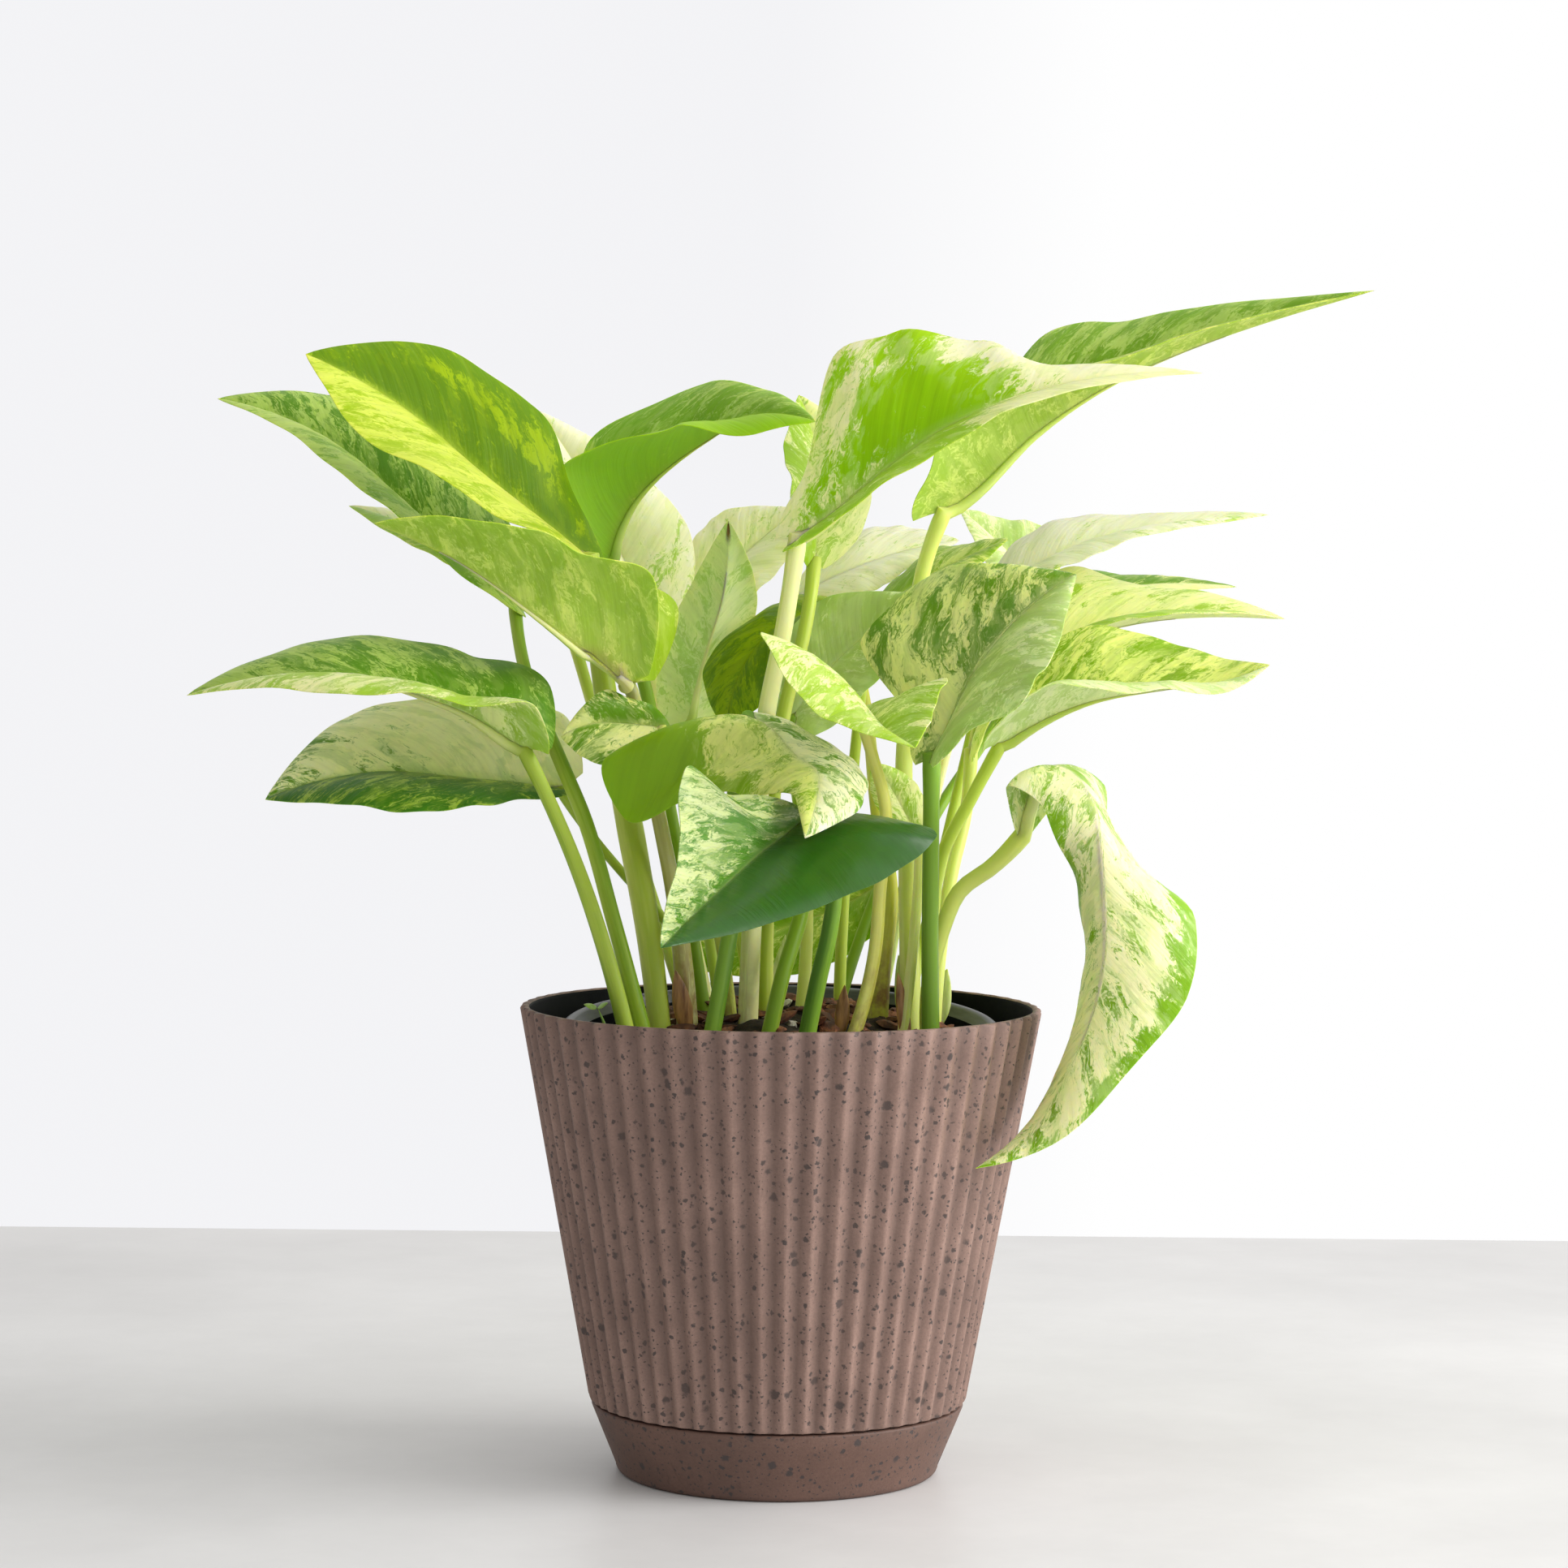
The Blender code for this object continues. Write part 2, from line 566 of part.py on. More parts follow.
leaf("leaf_12", "pale_green", base=(18, -14, 182), tip=(29, -76, 176),
     rows=[(0.12, (19, -22, 181), (29, -30, 186), (3, -38, 192)),
           (0.35, (21, -36, 180), (37, -44, 191), (-5, -50, 201)),
           (0.7, (25, -58, 178), (33, -62, 183), (9, -68, 182))],
     foot=(8, -18), stem=[(22, -15, 126), (23, -13, 139), (24, -14, 161), (21, -11, 172)],
     radii=(1.8, 1.6, 1.4), root=0.5, lobe=0.04)
leaf("leaf_13", "deep_green", base=(35, -14, 172), tip=(68, -19, 215),
     rows=[(0.1, (38, -15, 178), (31, -11, 179), (42, -28, 178)),
           (0.35, (44, -19, 191), (19, -4, 200), (55, -46, 187)),
           (0.7, (56, -22, 206), (41, -6, 217), (62, -44, 199))],
     foot=(36, -18), stem=[(35, -17, 125), (35, -15, 155)],
     radii=(2.3, 2.1, 2.0), fine=True, root=0.5)
leaf("leaf_14", "cream_green", base=(52, 8, 174), tip=(117, 10, 194),
     rows=[(0.35, (71, 8, 184), (72, 17, 203), (63, -16, 189)),
           (0.7, (92, 8, 188), (97, 17, 198), (89, -10, 188)),
           (0.88, (107, 9, 190), (109, 14, 195), (107, 0, 188))],
     foot=(37, 1), stem=[(36, 2, 133), (38, 4, 147), (45, 6, 161)],
     radii=(1.9, 1.7, 1.6))
leaf("leaf_15", "pale_green", base=(46, 29, 172), tip=(124, 38, 205),
     rows=[(0.35, (60, 38, 193), (66, 54, 216), (64, 24, 197)),
           (0.7, (89, 38, 204), (94, 54, 213), (94, 24, 206))],
     foot=(37, 13), stem=[(41, 20, 141), (45, 27, 158)],
     radii=(1.9, 1.8, 1.6), fine=True)
leaf("leaf_16", "pale_green", base=(52, 62, 195), tip=(115, 66, 213),
     rows=[(0.35, (71, 64, 208), (74, 82, 217), (70, 46, 205)),
           (0.7, (92, 68, 213), (94, 83, 215), (89, 56, 210))],
     foot=(26, 27), stem=[(46, 52, 170)],
     radii=(1.6, 1.6, 1.4))
leaf("leaf_17", "pale_green", base=(52, 44, 208), tip=(121, 48, 231),
     rows=[(0.35, (66, 46, 219), (65, 64, 229), (69, 28, 218)),
           (0.7, (90, 48, 227), (91, 64, 231), (89, 34, 225))],
     foot=(29, 20), stem=[(43, 40, 181)],
     radii=(1.6, 1.6, 1.4))
leaf("leaf_18", "mid_green", base=(68, 92, 210), tip=(46, 106, 233),
     rows=[(0.35, (61, 97, 219), (55, 84, 216), (69, 104, 228)),
           (0.7, (53, 102, 227), (50, 91, 223), (57, 108, 231))],
     foot=(22, 31), stem=[(34, 45, 146), (59, 82, 186)],
     radii=(1.5, 1.5, 1.3))
leaf("leaf_19", "mid_green", base=(38, 10, 230), tip=(141, 10, 284),
     rows=[(0.1, (45, 12, 235), (43, 19, 244), (36, 6, 238)),
           (0.33, (61, 17, 250), (65, 36, 275), (42, 4, 258)),
           (0.65, (90, 17, 267), (91, 30, 279), (82, 2, 268))],
     foot=(31, -4), stem=[(30, 4, 144), (29, 10, 170), (31, 12, 193), (33, 12, 215)],
     radii=(3.0, 2.3, 1.9), fine=True, taper=1.1)
leaf("leaf_20", "yellow_green", base=(3, -14, 223), tip=(97, -20, 262),
     rows=[(0.1, (10, -16, 228), (6, -10, 237), (12, -26, 227)),
           (0.33, (25, -20, 240), (13, -8, 268), (27, -40, 238)),
           (0.47, (36, -22, 248), (26, -8, 272), (38, -40, 245)),
           (0.64, (52, -24, 255), (46, -9, 270), (52, -42, 252)),
           (0.8, (70, -24, 260), (64, -13, 264), (70, -34, 258))],
     foot=(-8, -10), stem=[(-6, -9, 151), (-4, -8, 181), (0, -13, 202)],
     radii=(2.6, 2.4, 2.1), fine=True, bulge=(0.1, 0.04), taper=1.0)
leaf("leaf_21", "pale_green", base=(7, 14, 218), tip=(3, 34, 259),
     rows=[(0.35, (8, 18, 232), (1, 6, 236), (21, 26, 234)),
           (0.7, (7, 31, 247), (0, 24, 249), (16, 34, 249))],
     foot=(-2, -2), stem=[(-3, -1, 150), (0, 2, 181), (5, 5, 202)],
     radii=(1.9, 1.8, 1.6))
leaf("leaf_22", "pale_green", base=(2, 54, 209), tip=(44, 60, 224),
     rows=[(0.35, (16, 53, 216), (19, 70, 227), (19, 42, 210)),
           (0.7, (30, 57, 221), (33, 70, 227), (30, 46, 216))],
     foot=(1, 6), stem=[(6, 11, 132), (4, 20, 157), (-1, 44, 186)],
     radii=(1.7, 1.6, 1.4))
leaf("leaf_23", "mid_green", base=(21, 28, 204), tip=(55, 34, 224),
     rows=[(0.35, (33, 30, 213), (35, 48, 220), (32, 20, 210)),
           (0.7, (44, 32, 219), (46, 46, 223), (45, 24, 216))],
     foot=(14, 20), stem=[(18, 26, 177)],
     radii=(1.6, 1.5, 1.3))
leaf("leaf_24", "deep_green", base=(2, 8, 180), tip=(34, 0, 210),
     rows=[(0.35, (11, 8, 192), (2, 12, 202), (17, 2, 184)),
           (0.7, (22, 5, 202), (13, 12, 210), (26, -1, 195))],
     foot=(-6, -19), stem=[(0, -17, 119), (5, -10, 137), (4, 2, 158)],
     radii=(2.0, 1.8, 1.5), lobe=0.1)
leaf("leaf_25", "mid_green", base=(-23, 38, 178), tip=(-14, 26, 228),
     rows=[(0.35, (-20, 38, 193), (-10, 44, 193), (-31, 39, 193)),
           (0.7, (-15, 34, 211), (-7, 40, 211), (-23, 37, 213))],
     foot=(-10, 15), stem=[(-21, 30, 154)],
     radii=(1.8, 1.7, 1.5), lobe=0.1)
leaf("leaf_26", "mid_green", base=(15, 34, 206), tip=(-14, 14, 177),
     rows=[(0.35, (0, 30, 203), (5, 18, 197), (-3, 40, 208)),
           (0.7, (-10, 22, 192), (-2, 12, 185), (-20, 28, 190))],
     foot=(23, 2), stem=[(24, 3, 121), (26, 8, 137), (23, 22, 157), (20, 38, 184)],
     radii=(3.0, 1.8, 1.3))
leaf("leaf_27", "pale_green", base=(-24, 68, 202), tip=(4, 72, 232),
     rows=[(0.35, (-16, 70, 214), (-22, 80, 226), (-8, 58, 209)),
           (0.7, (-6, 72, 224), (-13, 80, 232), (1, 64, 221))],
     foot=(-4, 36), stem=[(-19, 58, 175)],
     radii=(1.6, 1.6, 1.4))
leaf("leaf_28", "cream_green", base=(57, -5, 153), tip=(45, -38, 78),
     rows=[(0.12, (61, -14, 169), (72, -8, 166), (52, -24, 165)),
           (0.28, (71, -30, 164), (77, -12, 152), (61, -32, 159)),
           (0.45, (74, -34, 140), (96, -28, 135), (69, -20, 140)),
           (0.6, (74, -34, 124), (94, -32, 118), (72, -16, 123)),
           (0.78, (69, -30, 105), (80, -34, 100), (67, -14, 99)),
           (0.9, (59, -30, 87), (64, -36, 84), (57, -25, 86))],
     foot=(39, -9), stem=[(38, -11, 131), (42, -10, 140), (50, -8, 146)],
     radii=(2.0, 1.9, 2.0), fine=True, lobe=0.0, root=0.9)
leaf("leaf_29", "pale_green", base=(33, 1, 150), tip=(21, -4, 170),
     rows=[(0.4, (28, 0, 160), (23, -2, 158), (33, 2, 163))],
     foot=(26, -11), stem=[(32, -7, 136)],
     radii=(1.4, 1.3, 1.2))
leaf("leaf_30", "mid_green", base=(25, 50, 138), tip=(-32, 48, 119),
     rows=[(0.35, (11, 52, 130), (16, 42, 120), (7, 62, 138)),
           (0.7, (-10, 52, 123), (-7, 44, 114), (-13, 60, 130))],
     foot=(9, 34), stem=[(20, 42, 126)],
     radii=(1.6, 1.6, 1.4))


def main():
    for old in list(bpy.data.objects):
        bpy.data.objects.remove(old)
    cover_pot()
    drip_saucer()
    nursery_pot()
    soil([leaf_object(one) for one in LEAVES])


main()
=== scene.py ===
# %% [markdown]
# # A potted marble queen pothos
#
# The real object is a young houseplant in three nested parts: a ribbed cover pot that stands
# on a clip-on drip saucer, a black nursery pot with its soil, and thirty heart-shaped leaves
# that hang from their stalks like flags. The packed part holds the plain solids. This lesson
# dresses them: it keeps their places and sizes, and adds the ribs' roundness, thin blades with
# a rib underneath, the marbling, bark chips and the speckled look of the pot.
#
# Everything is in metres with +Z up. The shapes are thought out in millimetres and scaled once.

# %% Load the packed part
import math

import bpy
import numpy as np
from mathutils import Matrix


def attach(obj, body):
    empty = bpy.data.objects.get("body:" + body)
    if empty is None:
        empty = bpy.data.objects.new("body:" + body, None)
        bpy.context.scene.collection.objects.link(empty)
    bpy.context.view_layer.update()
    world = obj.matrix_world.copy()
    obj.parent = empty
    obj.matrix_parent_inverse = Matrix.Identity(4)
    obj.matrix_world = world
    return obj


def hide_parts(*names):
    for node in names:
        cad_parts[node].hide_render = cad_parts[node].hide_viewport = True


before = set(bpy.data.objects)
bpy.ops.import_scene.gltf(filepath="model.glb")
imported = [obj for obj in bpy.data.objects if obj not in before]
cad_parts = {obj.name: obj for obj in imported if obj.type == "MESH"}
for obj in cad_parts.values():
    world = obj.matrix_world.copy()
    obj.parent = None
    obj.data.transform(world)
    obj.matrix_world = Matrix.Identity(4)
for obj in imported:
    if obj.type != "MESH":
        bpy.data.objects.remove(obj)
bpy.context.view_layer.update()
MM = 0.001

# %% [markdown]
# ## The camera
#
# The rim, the seam above the saucer and the foot are three circles of known height, and the
# flatness of their ellipses tells how far away and how high the viewer stands: about a metre
# off and a little above the pot's rim, through a long lens. The picture is rolled half a
# degree, so the camera's own axes are written out as vectors and not as three angles.

# %% Camera
EYE = np.array([0.23, -962.5, 206.0])
PITCH = math.radians(2.464)
ROLL = math.radians(0.538)
LENS = 92.68
SENSOR = 36.0
NEAREST = 0.05
FARTHEST = 20.0


def place_camera():
    """Right and up turn by ROLL in the picture plane, which leans back by PITCH."""
    level = np.array([1.0, 0.0, 0.0])
    steep = np.array([0.0, math.sin(PITCH), math.cos(PITCH)])
    right = level * math.cos(ROLL) + steep * math.sin(ROLL)
    up = steep * math.cos(ROLL) - level * math.sin(ROLL)
    data = bpy.data.cameras.new("viewpoint")
    data.lens = LENS
    data.sensor_width = SENSOR
    data.clip_start = NEAREST
    data.clip_end = FARTHEST
    camera = bpy.data.objects.new("viewpoint", data)
    turn = np.eye(4)
    turn[:3, :3] = np.stack([right, up, np.cross(right, up)], axis=1)
    turn[:3, 3] = EYE * MM
    camera.matrix_world = Matrix(turn.tolist())
    bpy.context.scene.collection.objects.link(camera)
    bpy.context.scene.camera = camera
    return camera


print("camera at", np.round(EYE), "mm, lens", place_camera().data.lens)

# %% [markdown]
# ## Surfaces from arrays
#
# Almost every piece here is the same kind of surface: rings of points stacked along a line,
# closed by a pole at each end. A pot is rings about its axis, a stalk is rings about a curve,
# and a leaf blade is flattened rings that run over its upper face and back under it. So one
# function skins them all, and each piece only has to say where its points lie. Building the
# arrays whole keeps that quick, and makes it easy to hang colours on the same grid.

# %% Skin rings of points
def skin(rings, first, last):
    """Quads between neighbouring rings, and a fan of triangles from each end ring to its pole.

    rings has one row of points for each ring. The signed volume, a sum of triple products
    over the triangles, says which way the faces point, and they are turned if it is negative.
    """
    rows, columns = rings.shape[:2]
    points = np.concatenate([rings.reshape(-1, 3), [first], [last]])
    i, j = np.meshgrid(np.arange(rows - 1), np.arange(columns), indexing="ij")
    after = (j + 1) % columns
    quads = np.stack([i * columns + j, i * columns + after,
                      (i + 1) * columns + after, (i + 1) * columns + j], axis=-1).reshape(-1, 4)
    j = np.arange(columns)
    after = (j + 1) % columns
    base = (rows - 1) * columns
    near = np.stack([after, j, np.full(columns, rows * columns)], axis=-1)
    far = np.stack([base + j, base + after, np.full(columns, rows * columns + 1)], axis=-1)
    fans = np.concatenate([near, far])
    corners = np.concatenate([quads[:, [0, 1, 2]], quads[:, [0, 2, 3]], fans])
    a, b, c = (points[corners[:, k]] - points.mean(axis=0) for k in range(3))
    if np.einsum("ij,ij->i", a, np.cross(b, c)).sum() < 0:
        quads = quads[:, ::-1]
        fans = fans[:, ::-1]
    return points, quads, fans


def per_point(values):
    """Values on the rings, followed by those of the two poles, copied from the end rings."""
    flat = values.reshape(-1, values.shape[-1])
    return np.concatenate([flat, values[0, :1], values[-1, :1]])


square = np.array([[1.0, 0.0, 0.0], [0.0, 1.0, 0.0], [-1.0, 0.0, 0.0], [0.0, -1.0, 0.0]])
post = skin(np.stack([square, square + (0.0, 0.0, 1.0)]), (0.0, 0.0, 0.0), (0.0, 0.0, 1.0))
print("a square post takes", len(post[1]), "quads and", len(post[2]), "triangles")

# %% [markdown] ## From arrays to a piece  A piece can hold several closed shells: a leaf is a
# blade and a stalk, and the bark is a few hundred chips. A piece that stands for a solid hides
# it, so the two never show through each other.

# %% Piece builder
def build(name, shells, materials, stands_for=(), sharp=60.0, attributes=None):
    """One object from closed shells, each (points in mm, quads, fans, material index).

    Edges that bend by more than sharp degrees stay crisp. attributes hold a value per point
    that the materials read, as name: (kind, values).
    """
    points, faces, looks = [], [], []
    start = 0
    for shell_points, quads, fans, look in shells:
        points.append(shell_points)
        faces += (quads + start).tolist() + (fans + start).tolist()
        fan_look = look if np.isscalar(look) else look[-1]
        looks += list(np.broadcast_to(look, len(quads))) + [fan_look] * len(fans)
        start += len(shell_points)
    mesh = bpy.data.meshes.new(name)
    mesh.from_pydata((np.concatenate(points) * MM).tolist(), [], faces)
    mesh.polygons.foreach_set("material_index", np.array(looks, np.int32))
    for key, (kind, values) in (attributes or {}).items():
        layer = mesh.attributes.new(key, kind, "POINT")
        field = "vector" if kind == "FLOAT_VECTOR" else "color"
        layer.data.foreach_set(field, np.asarray(values, np.float32).ravel())
    for material in materials:
        mesh.materials.append(material)
    mesh.shade_smooth()
    mesh.set_sharp_from_angle(angle=math.radians(sharp))
    piece = bpy.data.objects.new(name, mesh)
    bpy.context.scene.collection.objects.link(piece)
    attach(piece, "root")
    if stands_for:
        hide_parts(*stands_for)
    return piece


print("pieces go into", bpy.context.scene.collection.name)

# %% [markdown]
# ## A short way to write materials
#
# A node tree is easier to read as a sum of small steps than as a picture of boxes. This
# helper adds a node, sets its plain values and joins its inputs, and returns its output.

# %% Node helper
class Nodes:
    """Adds nodes to a material. A value that is a socket is linked, and any other is set."""

    def __init__(self, name):
        self.material = bpy.data.materials.new(name)
        self.material.use_nodes = True
        self.tree = self.material.node_tree
        self.tree.nodes.clear()

    def add(self, kind, out=0, settings=None, **inputs):
        """A new node's output. Inputs go by name, or by number after the letter i."""
        node = self.tree.nodes.new(kind)
        for key, value in (settings or {}).items():
            setattr(node, key, value)
        for key, value in inputs.items():
            place = int(key[1:]) if key[0] == "i" and key[1:].isdigit() else key.replace("_", " ")
            socket = node.inputs[place]
            if isinstance(value, bpy.types.NodeSocket):
                self.tree.links.new(value, socket)
            else:
                socket.default_value = value
        return node.outputs[out]

    def maths(self, operation, a, b=0.5, c=0.5):
        """One arithmetic step on numbers."""
        return self.add("ShaderNodeMath", settings={"operation": operation}, i0=a, i1=b, i2=c)

    def stretch(self, vector, by):
        """A vector times another, which sets how fine a pattern is along each axis."""
        return self.add("ShaderNodeVectorMath", settings={"operation": "MULTIPLY"}, i0=vector, i1=by)

    def noise(self, vector, scale, detail=3.0, roughness=0.55, out="Fac"):
        """Cloudy noise about 0.5, with scale clouds to a unit of the vector."""
        return self.add("ShaderNodeTexNoise", out=out, Vector=vector, Scale=scale, Detail=detail,
                        Roughness=roughness)

    def ramp(self, value, stops):
        """Straight pieces between (place, colour or number) stops."""
        node = self.tree.nodes.new("ShaderNodeValToRGB")
        node.color_ramp.interpolation = "LINEAR"
        while len(node.color_ramp.elements) < len(stops):
            node.color_ramp.elements.new(0.5)
        for element, (place, colour) in zip(node.color_ramp.elements, stops):
            element.position = place
            element.color = (colour, colour, colour, 1.0) if np.isscalar(colour) else (*colour, 1.0)
        self.tree.links.new(value, node.inputs[0])
        return node.outputs[0]

    def blend(self, share, a, b):
        """Colour a where share is 0 and b where it is 1."""
        mix = self.tree.nodes.new("ShaderNodeMix")
        mix.data_type = "RGBA"
        for socket, value in zip((mix.inputs[0], mix.inputs[6], mix.inputs[7]), (share, a, b)):
            if isinstance(value, bpy.types.NodeSocket):
                self.tree.links.new(value, socket)
            else:
                socket.default_value = value if np.isscalar(value) else (*value, 1.0)
        return mix.outputs[2]

    def place(self):
        """Where a point of the piece lies, in metres."""
        return self.add("ShaderNodeTexCoord", out="Object")

    def stored(self, name, out="Vector"):
        """An attribute that the builder stored in each point."""
        return self.add("ShaderNodeAttribute", out=out, settings={"attribute_name": name})

    def relief(self, height, strength, depth):
        """Fine relief that a height draws into the shading, depth metres at the most."""
        return self.add("ShaderNodeBump", Strength=strength, Distance=depth, Height=height)

    def coat(self, colour, roughness, bumps=None, **more):
        """The finished material: one principled shader joined to the output."""
        if bumps is not None:
            more["Normal"] = bumps
        shader = self.add("ShaderNodeBsdfPrincipled", Base_Color=colour, Roughness=roughness, **more)
        out = self.tree.nodes.new("ShaderNodeOutputMaterial")
        self.tree.links.new(shader, out.inputs[0])
        return self.material


print("steps:", [step for step in vars(Nodes) if not step.startswith("_")])

# %% [markdown]
# ## The tabletop
#
# The plant stands on a pale concrete tabletop whose far edge shows behind the pot. It is no
# part of the object, so it hangs from no body: a flat slab, mottled by wide noise and
# grained by fine noise, with its top at the height where the saucer's foot rests.

# %% Tabletop
TABLE_BACK = 365.0
TABLE_REACH = 1500.0
TABLE_THICKNESS = 30.0
TABLE_GREY = (0.70, 0.685, 0.675)
TABLE_PALE = (0.88, 0.865, 0.855)
TABLE_GRAIN = (0.50, 0.49, 0.48)


def tabletop_finish():
    """Pale concrete: a wide soft mottle and a fine grain over light grey."""
    n = Nodes("pale_tabletop")
    place = n.place()
    wide = n.noise(place, 5.0, detail=5.0, roughness=0.6)
    fine = n.noise(place, 260.0, detail=2.0)
    colour = n.ramp(wide, [(0.3, TABLE_GREY), (0.72, TABLE_PALE)])
    colour = n.blend(n.maths("MULTIPLY", fine, 0.08), colour, TABLE_GRAIN)
    return n.coat(colour, 0.42, n.relief(fine, 0.05, 0.0004))


def tabletop():
    """A flat slab whose far edge shows behind the pot."""
    across = TABLE_REACH * np.array([-1, 1, 1, -1])
    deep = np.array([-TABLE_REACH, -TABLE_REACH, TABLE_BACK, TABLE_BACK])
    rings = np.array([np.stack([across, deep, np.full(4, z)], axis=1) for z in (-TABLE_THICKNESS, 0.0)])
    points, quads, fans = skin(rings, rings[0].mean(axis=0), rings[1].mean(axis=0))
    mesh = bpy.data.meshes.new("tabletop")
    mesh.from_pydata((points * MM).tolist(), [], quads.tolist() + fans.tolist())
    mesh.materials.append(tabletop_finish())
    table = bpy.data.objects.new("tabletop", mesh)
    bpy.context.scene.collection.objects.link(table)
    return table


print("stage:", tabletop().name)

# %% [markdown]
# ## The bright room
#
# The plant stands in a bright room lit from the right. The room is the world's colour and no
# wall is built, so nothing ever stands between the plant and a camera that goes round it. Its
# brightness grows from left to right, which a single dot product gives: the direction of a
# ray times a slope. The wall behind the plant is seen by the camera alone, so it gets its own
# quiet tone with painted shade greying its left, and the light on the plant stays free to be uneven.

# %% Room
ROOM_LIGHT = 0.84
ROOM_SLOPE = (0.52, 0.08, 0.12)
WALL_LEFT_PAINTED_SHADE = (0.90, 0.90, 0.92)
WALL_RIGHT = (1.0, 1.0, 1.0)
WALL_FADE = 0.08


def room_light():
    """Brightness is ROOM_LIGHT plus the dot product of a ray's direction and ROOM_SLOPE."""
    world = bpy.data.worlds.new("bright_room")
    bpy.context.scene.world = world
    world.use_nodes = True
    tree = world.node_tree
    tree.nodes.clear()
    kinds = ("TexCoord", "VectorMath", "Math", "LightPath", "Background", "Background", "MixShader",
             "OutputWorld", "ValToRGB", "SeparateXYZ")
    ray, slope, lift, seen, wall, glow, choose, out, wall_shade_ramp, split = (
        tree.nodes.new("ShaderNode" + kind) for kind in kinds)
    slope.operation = "DOT_PRODUCT"
    slope.inputs[1].default_value = ROOM_SLOPE
    lift.operation = "ADD"
    lift.inputs[1].default_value = ROOM_LIGHT
    # Painted shade: the wall's tone greys towards the left.
    for element, at, colour in zip(wall_shade_ramp.color_ramp.elements, (0.0, WALL_FADE), (WALL_LEFT_PAINTED_SHADE, WALL_RIGHT)):
        element.position = at
        element.color = (*colour, 1.0)
    for source, target in (
            (ray.outputs["Generated"], slope.inputs[0]), (slope.outputs["Value"], lift.inputs[0]),
            (lift.outputs[0], glow.inputs["Strength"]), (ray.outputs["Generated"], split.inputs[0]),
            (split.outputs["X"], wall_shade_ramp.inputs[0]), (wall_shade_ramp.outputs[0], wall.inputs["Color"]),
            (seen.outputs["Is Camera Ray"], choose.inputs[0]), (glow.outputs[0], choose.inputs[1]),
            (wall.outputs[0], choose.inputs[2]), (choose.outputs[0], out.inputs[0])):
        tree.links.new(source, target)
    return world


print("world:", room_light().name)

# %% [markdown]
# ## The lamps
#
# One wide softbox high at the right stands for a window. It draws the soft shadow to the left
# and lights the edges of the leaves. A small one nearer the viewer lifts the blades that face
# forward. Both are area lamps, because a lamp's size sets how soft its shadows are. The plain
# view transform keeps the colours as they are mixed.

# %% Softboxes
LAMP_AIM = (0.0, 0.0, 0.12)
LAMPS = {
    "window": ((1.45, -0.28, 0.72), 0.9, 18.5),
    "front": ((1.1, -0.9, 0.8), 0.6, 3.5),
}


def softbox(name, place, size, watts):
    """A square lamp at a place in metres, turned to face LAMP_AIM."""
    data = bpy.data.lights.new(name, "AREA")
    data.size = size
    data.energy = watts
    lamp = bpy.data.objects.new(name, data)
    bpy.context.scene.collection.objects.link(lamp)
    away = np.array(place, float) - np.array(LAMP_AIM, float)
    away /= np.linalg.norm(away)
    right = np.cross([0.0, 0.0, 1.0], away)
    right /= np.linalg.norm(right)
    turn = np.eye(4)
    turn[:3, :3] = np.stack([right, np.cross(away, right), away], axis=1)
    turn[:3, 3] = place
    lamp.matrix_world = Matrix(turn.tolist())
    return lamp


for name, (place, size, watts) in LAMPS.items():
    print(softbox(name, place, size, watts).name, "lamp,", size, "m wide,", watts, "W")
bpy.context.scene.view_settings.view_transform = "Standard"

# %% [markdown]
# ## The cover pot
#
# The pot is pressed from a plant-fibre composite. Fifty-seven ribs run from the seam above
# the saucer right up into the lip, so the lip is faintly scalloped. A zigzag in the radius
# would give hard ribs and a cosine would give weak ones, so the outside is a cone that dips
# by a softened zigzag, and the dip fades out where the wall turns in at the seam. The inside
# is plain. Below, a skirt steps in and nests in the saucer.

# %% Cover pot sizes
RIM_HEIGHT = 111.5
RIM_CREST_RADIUS = 62.5
RIM_INNER_RADIUS = 60.0
RIB_FOOT_HEIGHT = 18.0
RIB_FOOT_RADIUS = 45.4
RIB_COUNT = 57
RIB_DEPTH = 1.5
RIB_SOFTNESS = 0.97
RIB_POINTS = 12
SEAM_HEIGHT = 17.1
FLOOR_HEIGHT = 13.3
FLOOR_THICKNESS = 2.6
FLOOR_RADIUS = 38.4
SKIRT_TOP_RADIUS = 41.4
SKIRT_FOOT_RADIUS = 37.4
SKIRT_FOOT_HEIGHT = 3.1
SKIRT_WALL = 2.0
HUB_RADIUS = 12.0
print("ribs are", round(2 * math.pi * RIM_CREST_RADIUS / RIB_COUNT, 1), "mm apart at the rim")


# %% Turned shapes
def turned_rings(profile, count, ribs=None):
    """Rings about Z, one for each (radius, height) of the profile.

    With ribs, ring i dips inwards by ribs[i] times the arc cosine of RIB_SOFTNESS times the
    cosine of the rib angle, over pi. That is almost 0 on a crest and almost 1 in a groove.
    """
    profile = np.asarray(profile, float)
    angle = 2 * math.pi * np.arange(count) / count
    radius = np.repeat(profile[:, :1], count, axis=1)
    if ribs is not None:
        dip = np.arccos(RIB_SOFTNESS * np.cos(RIB_COUNT * angle)) / math.pi
        radius = radius - np.asarray(ribs, float)[:, None] * dip
    height = np.repeat(profile[:, 1:], count, axis=1)
    return np.stack([radius * np.cos(angle), radius * np.sin(angle), height], axis=-1)


def along_profile(corners, step):
    """More points along straight runs between corners, about a step apart."""
    corners = np.asarray(corners, float)
    out = [corners[:1]]
    for a, b in zip(corners, corners[1:]):
        count = max(1, round(np.linalg.norm(b[:2] - a[:2]) / step))
        out.append(a + (b - a) * np.arange(1, count + 1)[:, None] / count)
    return np.concatenate(out)


print("rings take", RIB_COUNT * RIB_POINTS, "points each")

# %% Shape of the cover pot
RIBS_START = SEAM_HEIGHT + 1.3


